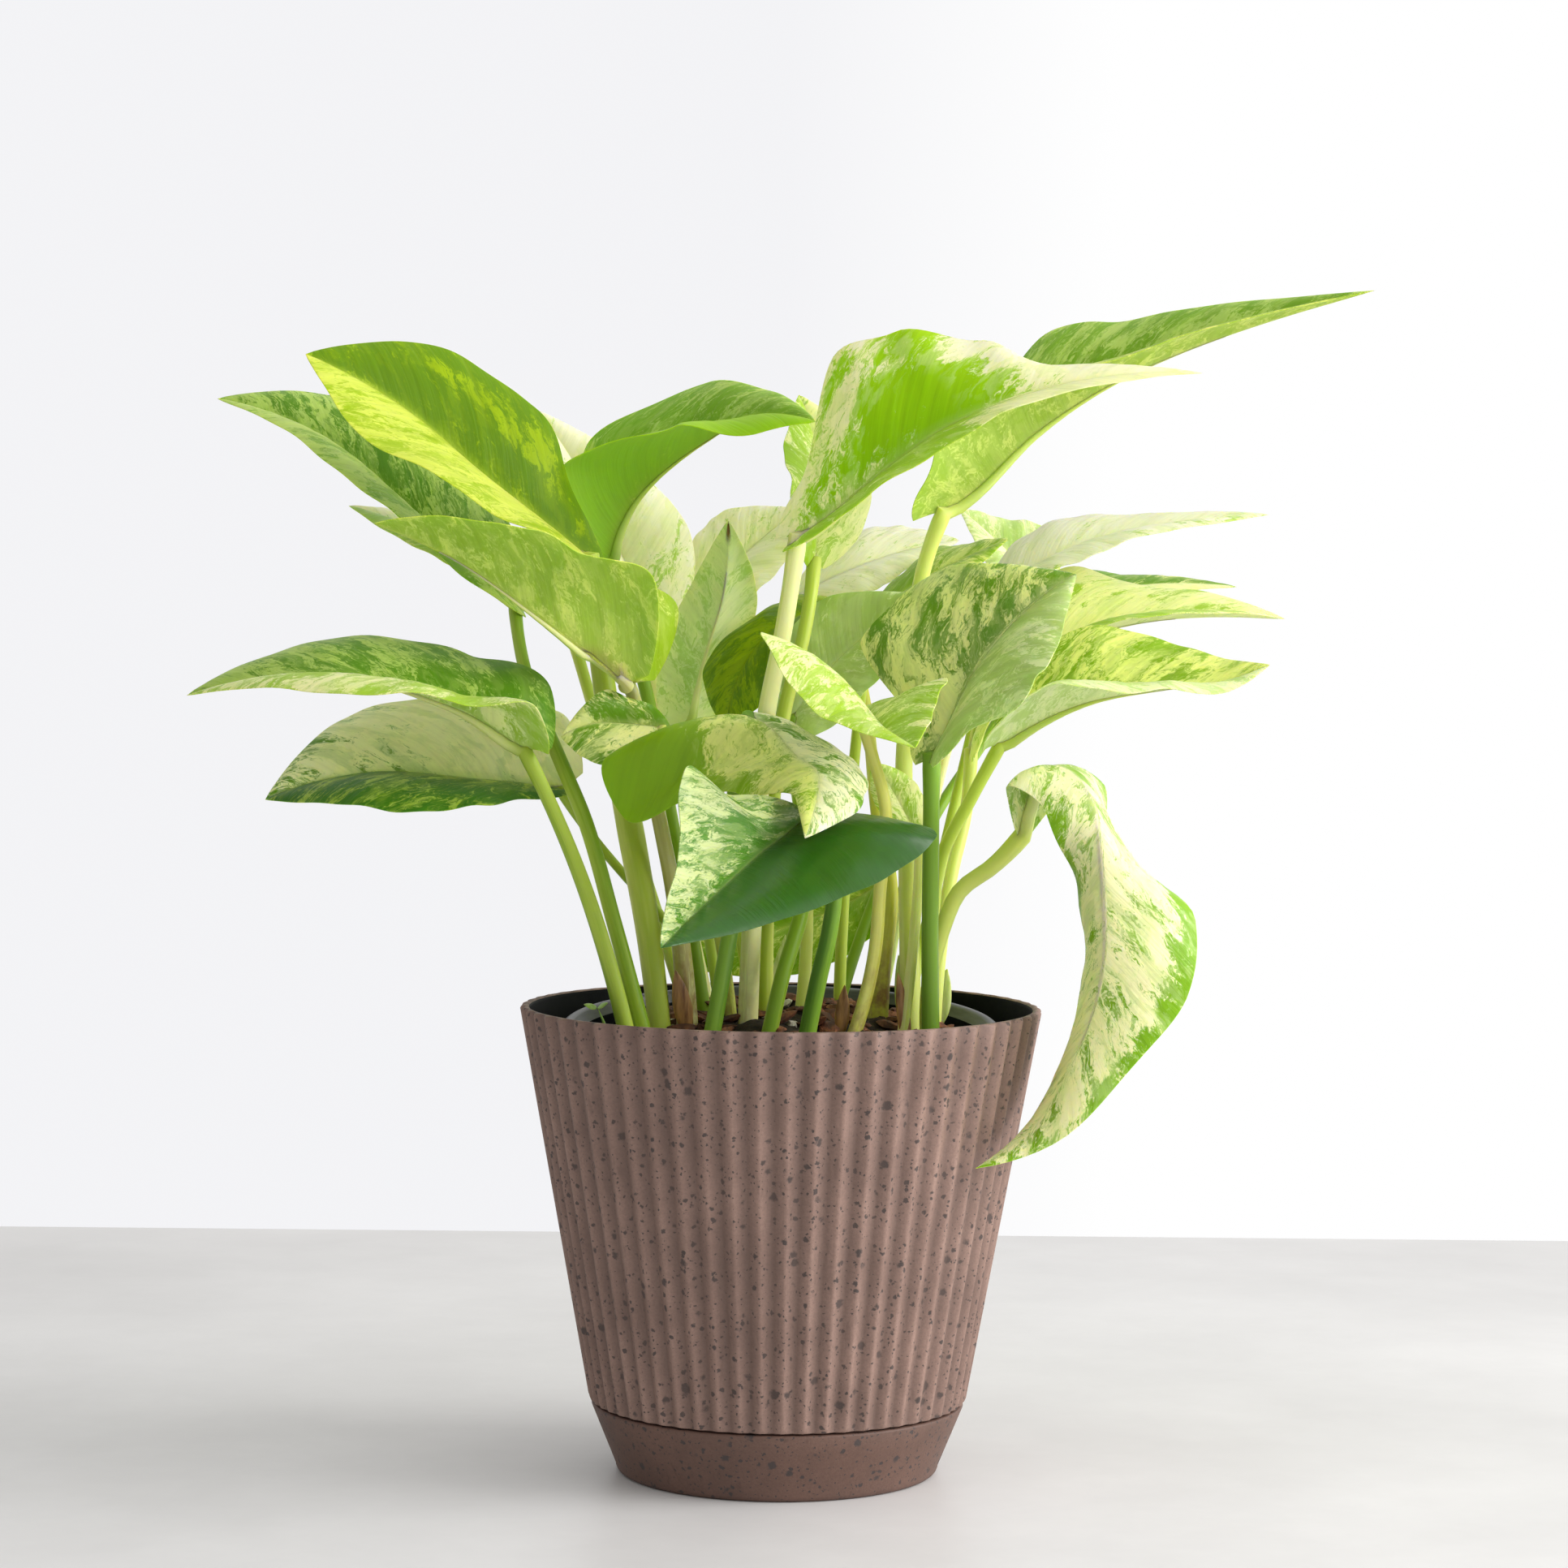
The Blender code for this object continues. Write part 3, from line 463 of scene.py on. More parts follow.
def cover_pot(outside, inside):
    """The outer wall with its ribs, over the rounded lip and down the plain inside.

    Each corner is (radius, height, depth of the ribs there).
    """
    under = FLOOR_HEIGHT - FLOOR_THICKNESS
    slope = (RIM_CREST_RADIUS - RIB_FOOT_RADIUS) / (RIM_HEIGHT - RIB_FOOT_HEIGHT)
    low = RIB_FOOT_RADIUS + slope * (RIBS_START - RIB_FOOT_HEIGHT)
    corners = [
        (HUB_RADIUS, under, 0.0), (FLOOR_RADIUS - 2.4, under, 0.0),
        (SKIRT_FOOT_RADIUS - SKIRT_WALL, SKIRT_FOOT_HEIGHT, 0.0),
        (SKIRT_FOOT_RADIUS, SKIRT_FOOT_HEIGHT, 0.0), (SKIRT_TOP_RADIUS, SEAM_HEIGHT, 0.0),
        (low - 1.5, SEAM_HEIGHT, 0.3), (low - 0.5, SEAM_HEIGHT + 0.35, 0.8),
        (low, RIBS_START, RIB_DEPTH), (RIM_CREST_RADIUS - 0.12, RIM_HEIGHT - 0.7, RIB_DEPTH),
        (RIM_CREST_RADIUS - 0.4, RIM_HEIGHT - 0.2, 0.85 * RIB_DEPTH),
        (RIM_CREST_RADIUS - 0.9, RIM_HEIGHT, 0.4 * RIB_DEPTH),
        (RIM_INNER_RADIUS + 0.6, RIM_HEIGHT, 0.1), (RIM_INNER_RADIUS + 0.15, RIM_HEIGHT - 0.3, 0.0),
        (RIM_INNER_RADIUS, RIM_HEIGHT - 1.0, 0.0), (FLOOR_RADIUS + 3.4, FLOOR_HEIGHT + 5.7, 0.0),
        (FLOOR_RADIUS, FLOOR_HEIGHT, 0.0), (HUB_RADIUS, FLOOR_HEIGHT, 0.0),
    ]
    table = along_profile(corners, 6.0)
    rings = turned_rings(table[:, :2], RIB_COUNT * RIB_POINTS, table[:, 2])
    points, quads, fans = skin(rings, (0.0, 0.0, under), (0.0, 0.0, FLOOR_HEIGHT))
    lip = int(np.argmax(table[:, 1] >= RIM_HEIGHT)) + 2
    row = np.arange(len(quads)) // rings.shape[1]
    look = (row >= lip).astype(int)
    return build("cover_pot", [(points, quads, fans, look)], [outside, inside],
                 ("pot_body",), sharp=50.0)


print("the ribs reach their full depth at", round(RIBS_START, 1), "mm")

# %% [markdown]
# ## The composite's finish
#
# Close up the composite is a warm taupe with charcoal specks of three sizes and a few brown
# fibres. Voronoi cells place the specks: a speck is the part of a cell that lies within a
# small distance of its centre, and the cell's random colour sets that distance, so that some
# cells stay empty and the rest differ in size. A little noise on the coordinates makes the
# specks ragged. The grooves are darkened as painted shade, and the angle about the pot's
# axis says where they are.

# %% Composite finish
SPECKS = ((5.0, 0.08, 0.24, 0.75), (2.3, 0.10, 0.30, 0.9), (1.2, 0.13, 0.29, 0.8))
SPECK_COLOUR = (0.045, 0.037, 0.036)
RAGGED = 0.0014


def specks(n, place):
    """1 inside a speck and 0 outside, for (cell in mm, least reach, most, share) in SPECKS."""
    ragged = n.noise(place, 900.0, detail=2.0, out="Color")
    ragged = n.add("ShaderNodeVectorMath", settings={"operation": "MULTIPLY_ADD"}, i0=ragged,
                   i1=(RAGGED,) * 3, i2=place)
    every = None
    for size, least, most, share in SPECKS:
        cell = n.add("ShaderNodeTexVoronoi", Vector=ragged, Scale=1.0 / (size * MM)).node
        chance = n.add("ShaderNodeSeparateColor", Color=cell.outputs["Color"])
        reach = n.ramp(chance, [(1.0 - share, 0.0), (1.0 - share + 0.01, least), (1.0, most)])
        inside = n.maths("SUBTRACT", reach, cell.outputs["Distance"])
        one = n.add("ShaderNodeMapRange", Value=inside, From_Min=-0.03, From_Max=0.06)
        every = one if every is None else n.maths("MAXIMUM", every, one)
    return every


def groove_painted_shade(n, place, count):
    """Painted shade in the grooves: 0.55 times the 0.8th power of half of one minus the cosine of the
    rib angle.
    """
    split = n.add("ShaderNodeSeparateXYZ", Vector=place)
    turn = n.maths("ARCTAN2", split.node.outputs[1], split.node.outputs[0])
    wave = n.maths("COSINE", n.maths("MULTIPLY", turn, count), 0.0)
    return n.maths("MULTIPLY", n.maths("POWER", n.maths("MULTIPLY_ADD", wave, -0.5, 0.5), 0.8), 0.55)


def composite_finish(name, light, dark, roughness, grooves=0):
    """Fine-grained composite with dark specks, and painted shade down in the grooves."""
    n = Nodes(name)
    place = n.place()
    wide = n.noise(place, 55.0, detail=4.0, roughness=0.6)
    grain = n.noise(place, 1500.0, detail=3.0, roughness=0.7)
    colour = n.blend(n.ramp(wide, [(0.3, 0.0), (0.7, 1.0)]), dark, light)
    colour = n.blend(n.ramp(grain, [(0.35, 0.28), (0.6, 0.0)]), colour, tuple(0.45 * c for c in dark))
    spots = specks(n, place)
    colour = n.blend(n.maths("MULTIPLY", spots, 0.86), colour, SPECK_COLOUR)
    if grooves:
        # Painted shade: the grooves are pulled towards 0.4 of the dark tone.
        colour = n.blend(groove_painted_shade(n, place, grooves), colour, tuple(0.4 * c for c in dark))
    long = n.stretch(place, (420.0, 420.0, 60.0))
    fibre = n.ramp(n.noise(long, 1.0, detail=2.0), [(0.66, 0.0), (0.72, 0.35)])
    colour = n.blend(fibre, colour, tuple(0.55 * c for c in dark))
    rough = n.add("ShaderNodeMapRange", Value=grain, To_Min=roughness - 0.08, To_Max=roughness + 0.1)
    return n.coat(colour, rough, n.relief(n.maths("MULTIPLY_ADD", spots, -0.5, grain), 0.25, 0.00025))


print("specks of", len(SPECKS), "sizes")

# %% Cover pot
POT_LIGHT = (0.380, 0.240, 0.192)
POT_DARK = (0.252, 0.155, 0.123)
INSIDE_DARK = (0.004, 0.005, 0.005)
INSIDE_LIGHT = (0.012, 0.013, 0.013)


def charcoal_finish():
    """The pot's inside: near black, slightly uneven and dull."""
    n = Nodes("pot_inside")
    wide = n.noise(n.place(), 160.0, detail=4.0)
    colour = n.ramp(wide, [(0.3, INSIDE_DARK), (0.75, INSIDE_LIGHT)])
    return n.coat(colour, 0.5, n.relief(wide, 0.2, 0.0003), Specular_IOR_Level=0.04)


pot_finish = composite_finish("speckled_composite", POT_LIGHT, POT_DARK, 0.62, RIB_COUNT)
pot = cover_pot(pot_finish, charcoal_finish())
print(pot.name, len(pot.data.polygons), "faces")

# %% [markdown]
# ## The drip saucer
#
# The saucer carries the pot's slope down to the table as a smooth band. Its foot is rounded
# under, which leaves the thin dark line where it meets the table, and a hair's breadth of air
# under the ribs draws the dark seam above it.

# %% Drip saucer
SAUCER_HEIGHT = 16.8
SAUCER_TOP_RADIUS = 44.6
SAUCER_FOOT_RADIUS = 36.8
SAUCER_WALL = 2.3
SAUCER_FLOOR = 2.8
SAUCER_FLOOR_RADIUS = 37.8
SAUCER_EDGE = 1.9
SAUCER_HUB_RADIUS = 10.0
SAUCER_POINTS = 180
SAUCER_LIGHT = (0.180, 0.097, 0.071)
SAUCER_DARK = (0.124, 0.068, 0.050)


def drip_saucer(finish):
    """A dish turned about Z, whose foot is a quarter of a circle."""
    turn = np.linspace(0, 0.5 * math.pi, 7)
    foot = [(SAUCER_FOOT_RADIUS + SAUCER_EDGE * math.sin(a), SAUCER_EDGE * (1 - math.cos(a)))
            for a in turn]
    corners = [
        (SAUCER_HUB_RADIUS, 0.0), *foot, (SAUCER_TOP_RADIUS - 0.05, SAUCER_HEIGHT - 0.6),
        (SAUCER_TOP_RADIUS - 0.2, SAUCER_HEIGHT - 0.15), (SAUCER_TOP_RADIUS - 0.5, SAUCER_HEIGHT),
        (SAUCER_TOP_RADIUS - SAUCER_WALL, SAUCER_HEIGHT),
        (SAUCER_FLOOR_RADIUS + 0.3, SAUCER_FLOOR + 0.5), (SAUCER_FLOOR_RADIUS, SAUCER_FLOOR),
        (SAUCER_HUB_RADIUS, SAUCER_FLOOR),
    ]
    rings = turned_rings(along_profile(corners, 5.0), SAUCER_POINTS)
    shell = skin(rings, (0.0, 0.0, 0.0), (0.0, 0.0, SAUCER_FLOOR))
    return build("saucer", [(*shell, 0)], [finish], ("drip_saucer",), sharp=50.0)


saucer = drip_saucer(composite_finish("saucer_composite_skin", SAUCER_LIGHT, SAUCER_DARK, 0.6))
print(saucer.name, len(saucer.data.polygons), "faces")

# %% [markdown]
# ## The nursery pot
#
# The grower's pot is thin black plastic with a rolled rim, and it leans a little towards the
# viewer. So all of it is drawn upright about its rim's centre, with depths below the rim, and
# tipped at the end. Only the rolled rim catches the light, so the bead's faces get a lighter
# grey finish of their own, which is a painted highlight.

# %% Nursery pot
LEAN = math.radians(5.0)
NURSERY_RIM_HEIGHT = 107.2
NURSERY_RIM_RADIUS = 52.5
NURSERY_DEPTH = 91.0
NURSERY_FOOT_RADIUS = 33.0
NURSERY_WALL = 1.0
NURSERY_HUB_RADIUS = 8.0
NURSERY_POINTS = 144
BEAD = 1.3


def tipped(points):
    """Turn about X by LEAN and lift to the rim's height."""
    x, y, z = np.moveaxis(np.asarray(points, float), -1, 0)
    return np.stack([x, y * math.cos(LEAN) - z * math.sin(LEAN),
                     NURSERY_RIM_HEIGHT + y * math.sin(LEAN) + z * math.cos(LEAN)], axis=-1)


def nursery_radius(depth):
    """The outside radius at a depth below the rim, on a straight cone."""
    top = NURSERY_RIM_RADIUS - 2.5
    return top + (NURSERY_FOOT_RADIUS - top) * depth / NURSERY_DEPTH


def plastic_finish(name, dark, light, roughness, gloss):
    """Moulded plastic with scuffs that run round the pot; on the rim the lighter tones are a painted
    highlight.
    """
    n = Nodes(name)
    scuff = n.noise(n.stretch(n.place(), (60.0, 60.0, 400.0)), 1.0, detail=4.0)
    colour = n.ramp(scuff, [(0.35, dark), (0.8, light)])
    rough = n.add("ShaderNodeMapRange", Value=scuff, To_Min=roughness - 0.05, To_Max=roughness + 0.1)
    return n.coat(colour, rough, Specular_IOR_Level=gloss)


def nursery_pot(wall_finish, rim_highlight_finish):
    """A straight cone with a bead for a rim, whose section is most of a circle."""
    turn = np.linspace(-0.5 * math.pi, math.pi, 13)
    bead = [(NURSERY_RIM_RADIUS - BEAD + BEAD * math.cos(a), BEAD * (math.sin(a) - 1)) for a in turn]
    neck = 2 * BEAD
    floor = NURSERY_DEPTH - NURSERY_WALL
    corners = [(NURSERY_HUB_RADIUS, -NURSERY_DEPTH), (NURSERY_FOOT_RADIUS, -NURSERY_DEPTH),
               (nursery_radius(neck), -neck), *bead, (nursery_radius(neck) - NURSERY_WALL, -neck),
               (nursery_radius(floor) - NURSERY_WALL, -floor), (NURSERY_HUB_RADIUS, -floor)]
    table = along_profile(corners, 9.0)
    rings = turned_rings(table, NURSERY_POINTS)
    ends = tipped([(0.0, 0.0, -NURSERY_DEPTH), (0.0, 0.0, -floor)])
    points, quads, fans = skin(tipped(rings), *ends)
    on_bead = (table[:, 1] > -neck) & (table[:, 0] > NURSERY_RIM_RADIUS - 2.5 * BEAD)
    look = on_bead[np.arange(len(quads)) // rings.shape[1]].astype(int)
    return build("grower_pot", [(points, quads, fans, look)], [wall_finish, rim_highlight_finish],
                 ("nursery_pot",))


black_plastic = plastic_finish("black_plastic", (0.006, 0.007, 0.009), (0.018, 0.019, 0.024), 0.7, 0.0)
# The rim's lighter grey tones are a painted highlight on the bead.
rim_painted_highlight = plastic_finish("rim_painted_highlight", (0.055, 0.055, 0.066), (0.15, 0.15, 0.175), 0.32, 0.5)
print(nursery_pot(black_plastic, rim_painted_highlight).name)

# %% [markdown]
# ## The soil
#
# The soil is a plug that fills the nursery pot and heaps up in the middle, as it does where a
# plant was set in fresh mix. Its rough top is a sum of waves of random direction and length,
# which is a cheap way to get a bumpy surface without stored numbers. The same height function
# says later where chips, shoots and husks touch the ground.

# %% Soil
SOIL_BELOW_RIM = 6.2
SOIL_MOUND = 9.0
SOIL_DEPTH = 89.7
SOIL_GAP = 1.3
SOIL_EDGE = nursery_radius(SOIL_BELOW_RIM) - SOIL_GAP
SOIL_RINGS = 40
WAVES = 40
WAVE_STEEPNESS = 0.02
PEAT_DARK = (0.008, 0.006, 0.004)
PEAT_LIGHT = (0.05, 0.028, 0.015)
SHRED_COLOUR = (0.16, 0.06, 0.022)
chance = np.random.default_rng(11)
wave_turn = chance.uniform(0, 2 * math.pi, WAVES)
wave_length = chance.uniform(3.0, 14.0, WAVES)
wave_start = chance.uniform(0, 2 * math.pi, WAVES)


def soil_height(x, y):
    """A heap that falls off with the square of the reach, and waves of random direction on it.

    Each wave is as high as a share of its length.
    """
    across = x[..., None] * np.cos(wave_turn) + y[..., None] * np.sin(wave_turn)
    waves = WAVE_STEEPNESS * wave_length * np.sin(2 * math.pi * across / wave_length + wave_start)
    mound = SOIL_MOUND * (1 - (x * x + y * y) / SOIL_EDGE ** 2)
    return mound + waves.sum(axis=-1) - SOIL_BELOW_RIM


def soil_finish():
    """Dark peat with orange-brown shreds of bark in it."""
    n = Nodes("peat")
    place = n.place()
    crumb = n.noise(place, 700.0, detail=5.0, roughness=0.7)
    shred = n.noise(n.stretch(place, (300.0, 120.0, 300.0)), 1.0, detail=3.0)
    colour = n.ramp(crumb, [(0.3, PEAT_DARK), (0.7, PEAT_LIGHT)])
    colour = n.blend(n.ramp(shred, [(0.58, 0.0), (0.66, 0.8)]), colour, SHRED_COLOUR)
    return n.coat(colour, 0.9, n.relief(crumb, 0.8, 0.001))


def soil_plug():
    """Rings from the floor up the wall and in across the rough top, which is calm at the wall."""
    wall = [(10.0, -SOIL_DEPTH), (nursery_radius(SOIL_DEPTH) - SOIL_GAP, -SOIL_DEPTH),
            (SOIL_EDGE, -SOIL_BELOW_RIM - 0.5)]
    reach = np.linspace(SOIL_EDGE, 1.0, SOIL_RINGS)
    rings = turned_rings(along_profile(wall, 12.0), NURSERY_POINTS)
    top = turned_rings(np.stack([reach, np.zeros(SOIL_RINGS)], axis=1), NURSERY_POINTS)
    rise = soil_height(top[..., 0], top[..., 1])
    calm = np.clip((SOIL_EDGE - reach) / 3.0, 0, 1)[:, None]
    top[..., 2] = -SOIL_BELOW_RIM + (rise + SOIL_BELOW_RIM) * calm
    rings = tipped(np.concatenate([rings, top]))
    shell = skin(rings, tipped((0.0, 0.0, -SOIL_DEPTH)), rings[-1].mean(axis=0))
    return build("soil_plug", [(*shell, 0)], [soil_finish()], ("soil",), sharp=80.0)


print(soil_plug().name)

# %% [markdown]
# ## Bark and perlite
#
# The mix holds coarse orange-brown bark and pale, porous perlite. Each chip is a six-sided
# lump of a few dozen faces, pushed out of shape at random and sunk a little into the soil, so
# hundreds of them stay light. Drawing the reach as a square root spreads them evenly over the
# disc. The few pale lumps that stand out in the picture are listed one by one.

# %% Scattered lumps
NUGGET_SIDES = 6


def nugget(size, flat, roll, ragged):
    """A closed lump: rings whose radius follows a half sine, pushed about at random."""
    steps = np.linspace(0.15, 0.85, 4)
    angle = 2 * math.pi * np.arange(NUGGET_SIDES) / NUGGET_SIDES
    girth = np.sin(math.pi * steps)[:, None] ** 0.6 * (1 + ragged)
    rings = np.stack([np.repeat((steps - 0.5)[:, None] * 2 * size, NUGGET_SIDES, axis=1),
                      girth * np.cos(angle) * size * flat,
                      girth * np.sin(angle) * size * flat * 0.6], axis=-1)
    yaw, tilt = roll
    c, s = math.cos(yaw), math.sin(yaw)
    turn = np.array([[c, -s, 0], [s, c, 0], [0, 0, 1]])
    c, s = math.cos(tilt), math.sin(tilt)
    lift = np.array([[c, 0, s], [0, 1, 0], [-s, 0, c]])
    ends = np.array([[-size, 0, 0], [size, 0, 0]])
    return rings @ (turn @ lift).T, ends @ (turn @ lift).T


def scatter(name, count, sizes, flat, finish, seed, placed=()):
    """Lumps spread evenly over the soil's disc, each sunk well into it.

    placed adds (x, y, size) for the lumps that stand out.
    """
    draw = np.random.default_rng(seed)
    reach = (SOIL_EDGE - 3.0) * np.sqrt(draw.uniform(0, 1, count))
    turn = draw.uniform(0, 2 * math.pi, count)
    x, y = reach * np.cos(turn), reach * np.sin(turn)
    girths = [draw.uniform(*sizes) for _ in range(count)] + [lump[2] for lump in placed]
    x = np.append(x, [lump[0] for lump in placed])
    y = np.append(y, [lump[1] for lump in placed])
    z = soil_height(x, y)
    shells = []
    for k, size in enumerate(girths):
        rings, ends = nugget(size, flat, (draw.uniform(0, 6.3), draw.uniform(-0.5, 0.5)),
                             draw.uniform(-0.3, 0.3, (4, NUGGET_SIDES)))
        here = np.array([x[k], y[k], z[k] + 0.15 * size])
        shells.append((*skin(tipped(rings + here), *tipped(ends + here)), 0))
    return build(name, shells, [finish], sharp=35.0)


print("lumps lie within", round(SOIL_EDGE - 3.0, 1), "mm of the middle")

# %% Bark chips and perlite
BARK_COUNT = 330
BARK_SIZES = (1.6, 5.2)
PERLITE_COUNT = 34
PERLITE_SIZES = (0.8, 2.1)
PERLITE_PLACED = [(-26, -5, 2.0), (-28, 1, 1.3), (10, 12, 1.2), (24, -24, 1.4)]
BARK_TONES = ((0.06, 0.022, 0.010), (0.24, 0.08, 0.03), (0.42, 0.17, 0.065))
BARK_GRAIN = (0.03, 0.014, 0.009)
PERLITE_PALE_AND_PORE_SHADE = ((0.42, 0.36, 0.27), (0.78, 0.73, 0.62))


def bark_finish():
    """Red-brown bark whose dark grain runs along one axis."""
    n = Nodes("bark")
    place = n.place()
    wide = n.noise(place, 140.0, detail=2.0)
    grain = n.noise(n.stretch(place, (900.0, 260.0, 900.0)), 1.0, detail=4.0)
    colour = n.ramp(wide, list(zip((0.3, 0.55, 0.75), BARK_TONES)))
    colour = n.blend(n.ramp(grain, [(0.4, 0.6), (0.6, 0.0)]), colour, BARK_GRAIN)
    return n.coat(colour, 0.8, n.relief(grain, 0.6, 0.0005))


def perlite_finish():
    """Off-white foamed stone, with painted shade in its pores."""
    n = Nodes("perlite")
    pores = n.noise(n.place(), 1400.0, detail=3.0)
    colour = n.ramp(pores, list(zip((0.35, 0.6), PERLITE_PALE_AND_PORE_SHADE)))
    return n.coat(colour, 0.85, n.relief(pores, 0.7, 0.0004))


chips = scatter("bark_chips", BARK_COUNT, BARK_SIZES, 0.42, bark_finish(), 3)
grains = scatter("perlite_grains", PERLITE_COUNT, PERLITE_SIZES, 0.85, perlite_finish(), 5,
                 placed=PERLITE_PLACED)
print(chips.name, len(chips.data.polygons), "faces;", grains.name, len(grains.data.polygons))

# %% [markdown]
# ## Small growth at the soil
#
# Between the stalks' feet grow a weed seedling, a few young leaves that are still folded, and
# sheaths that have dried brown. All of them are slim closed lenses: from foot to tip the half
# width follows a half sine that is pushed towards the foot. Each foot is looked up on the
# soil's surface and sunk a millimetre, so nothing floats when it is seen from the side.

# %% Bud shape and finish
def ground(x, y):
    """The point where the soil's surface is met at x and y, one millimetre down."""
    return tipped(np.array([x, y, float(soil_height(np.array(x), np.array(y))) - 1.0]))


def bud(foot, tip, wide, thick, facing, steps=12, sides=14):
    """A closed lens from foot to tip whose half width follows a half sine, pushed to the foot."""
    foot, tip = np.array(foot, float), np.array(tip, float)
    axis = tip - foot
    across = np.cross(axis, facing)
    across /= np.linalg.norm(across)
    out = np.cross(across, axis)
    out /= np.linalg.norm(out)
    s = np.linspace(0.03, 0.97, steps)[:, None, None]
    angle = 2 * math.pi * np.arange(sides)[None, :, None] / sides
    girth = np.sin(math.pi * s ** 0.8) ** 0.8
    ring = wide * np.cos(angle) * across + thick * np.sin(angle) * out
    return (*skin(foot + s * axis + girth * ring, foot, tip), 0)


def young_finish(name, pale, deep):
    """Soft young tissue: long faint streaks between two tones."""
    n = Nodes(name)
    streak = n.noise(n.stretch(n.place(), (900.0, 900.0, 120.0)), 1.0, detail=3.0)
    colour = n.blend(n.ramp(streak, [(0.35, 0.0), (0.65, 1.0)]), deep, pale)
    return n.coat(colour, 0.45, n.relief(streak, 0.3, 0.0003), Subsurface_Weight=0.6,
                  Subsurface_Scale=0.001, Subsurface_Radius=(0.8, 1.0, 0.15))


print("soil at the middle:", np.round(ground(0.0, 0.0), 1).tolist())

# %% Seedling, shoots and husks
def seedling():
    """A weed seedling at the left of the soil: a thread of a stem and two round seed leaves."""
    foot = ground(-39.0, -10.0)
    fork = np.array([-43.5, -10.0, 111.5])
    seed_leaves = [bud(fork, fork + (-3.2, -0.6, 0.9), 1.3, 0.25, (0.2, -0.5, 1.0), 8, 10),
                   bud(fork, fork + (2.6, -1.2, 1.4), 1.2, 0.25, (-0.3, -0.5, 1.0), 8, 10)]
    stem = bud(foot, fork + (0.1, 0.0, 0.2), 0.4, 0.4, (0.0, -1.0, 0.0), 8, 8)
    finish = young_finish("seedling_green", (0.42, 0.60, 0.16), (0.24, 0.42, 0.06))
    return build("weed_seedling", [stem, *seed_leaves], [finish])


def young_shoots():
    """A young leaf still folded, a whitish sheath and two thin spears, all rooted in the soil."""
    shoots = [bud(ground(37.0, 20.0), (40.5, 20.0, 119.0), 3.2, 0.9, (-0.5, -1.0, 0.2)),
              bud(ground(30.5, -1.0), (28.0, 1.0, 124.0), 2.3, 1.0, (0.4, -1.0, 0.0)),
              bud(ground(24.0, 14.0), (31.0, 12.0, 152.0), 1.3, 0.8, (0.0, -1.0, 0.3)),
              bud(ground(-3.0, 6.0), (1.0, 8.0, 128.0), 1.6, 0.8, (0.3, -1.0, 0.0))]
    finish = young_finish("young_cream", (0.80, 0.86, 0.42), (0.52, 0.66, 0.18))
    return build("young_shoots", shoots, [finish])


def dry_husks():
    """Brown leaf sheaths that have dried at the foot of three stalks."""
    husks = [bud(ground(-22.0, -10.5), (-25.0, -12.0, 121.0), 2.3, 0.7, (0.2, -1.0, 0.1)),
             bud(ground(14.0, -15.0), (15.0, -14.0, 118.0), 1.8, 0.6, (-0.3, -1.0, 0.1)),
             bud(ground(30.0, -14.0), (27.5, -13.0, 121.0), 1.6, 0.6, (0.2, -1.0, 0.1))]
    finish = young_finish("husk_brown", (0.50, 0.27, 0.09), (0.20, 0.085, 0.03))
    return build("dry_husks", husks, [finish])


print([piece.name for piece in (seedling(), young_shoots(), dry_husks())])

# %% [markdown]
# ## The shape of a leaf
#
# A pothos leaf is a heart on a long stalk. Each one is drawn through a few listed points:
# for some shares of the way from base to tip there is a point on the midrib, one on the left
# margin and one on the right. Smooth curves through those points carry the outline of a
# standard leaf, and each half is arched between midrib and margin. The packed solids come
# from the same points with a coarse grid. Here the grid is fine, the blade is paper thin, and
# the midrib stands out below and lies in a shallow channel above.

# %% Curves through points
BLADE_ROOT = 0.62
BLADE_TAPER = 0.95


def unit(vectors):
    """The vectors, each divided by its length."""
    return vectors / np.linalg.norm(vectors, axis=-1, keepdims=True)


def smooth_curve(knots, values, s):
    """A cubic Hermite curve through the values at the knots, with central slopes."""
    knots = np.asarray(knots, float)
    values = np.asarray(values, float)
    slopes = np.gradient(values, knots, axis=0, edge_order=2 if len(knots) > 2 else 1)
    i = np.clip(np.searchsorted(knots, s, side="right") - 1, 0, len(knots) - 2)
    span = (knots[i + 1] - knots[i])[:, None]
    t = (s - knots[i])[:, None] / span
    start = values[i] * (1 + 2 * t) * (1 - t) ** 2 + slopes[i] * span * t * (1 - t) ** 2
    end = values[i + 1] * t * t * (3 - 2 * t) + slopes[i + 1] * span * t * t * (t - 1)
    return start + end


def eased(knots, values, s):
    """Move from value to value with no slope at the knots, and hold the first and last."""
    knots = np.asarray(knots, float)
    values = np.asarray(values, float)
    if len(knots) == 1:
        return np.repeat(values, len(s), axis=0)
    i = np.clip(np.searchsorted(knots, s, side="right") - 1, 0, len(knots) - 2)
    t = np.clip((s - knots[i]) / (knots[i + 1] - knots[i]), 0, 1)
    t = (t * t * (3 - 2 * t))[:, None]
    return values[i] * (1 - t) + values[i + 1] * t


def half_width(s, root, taper):
    """s to the power root times 1 - s to the power taper, scaled to 1 at its widest."""
    def raw(x):
        return (x + 0.012) ** root * (1 - x) ** taper
    return raw(s) / raw(np.linspace(0, 1, 400)).max()


widest = np.argmax(half_width(np.linspace(0, 1, 101), BLADE_ROOT, BLADE_TAPER))
print("a plain blade is widest", int(widest), "% of the way to its tip")

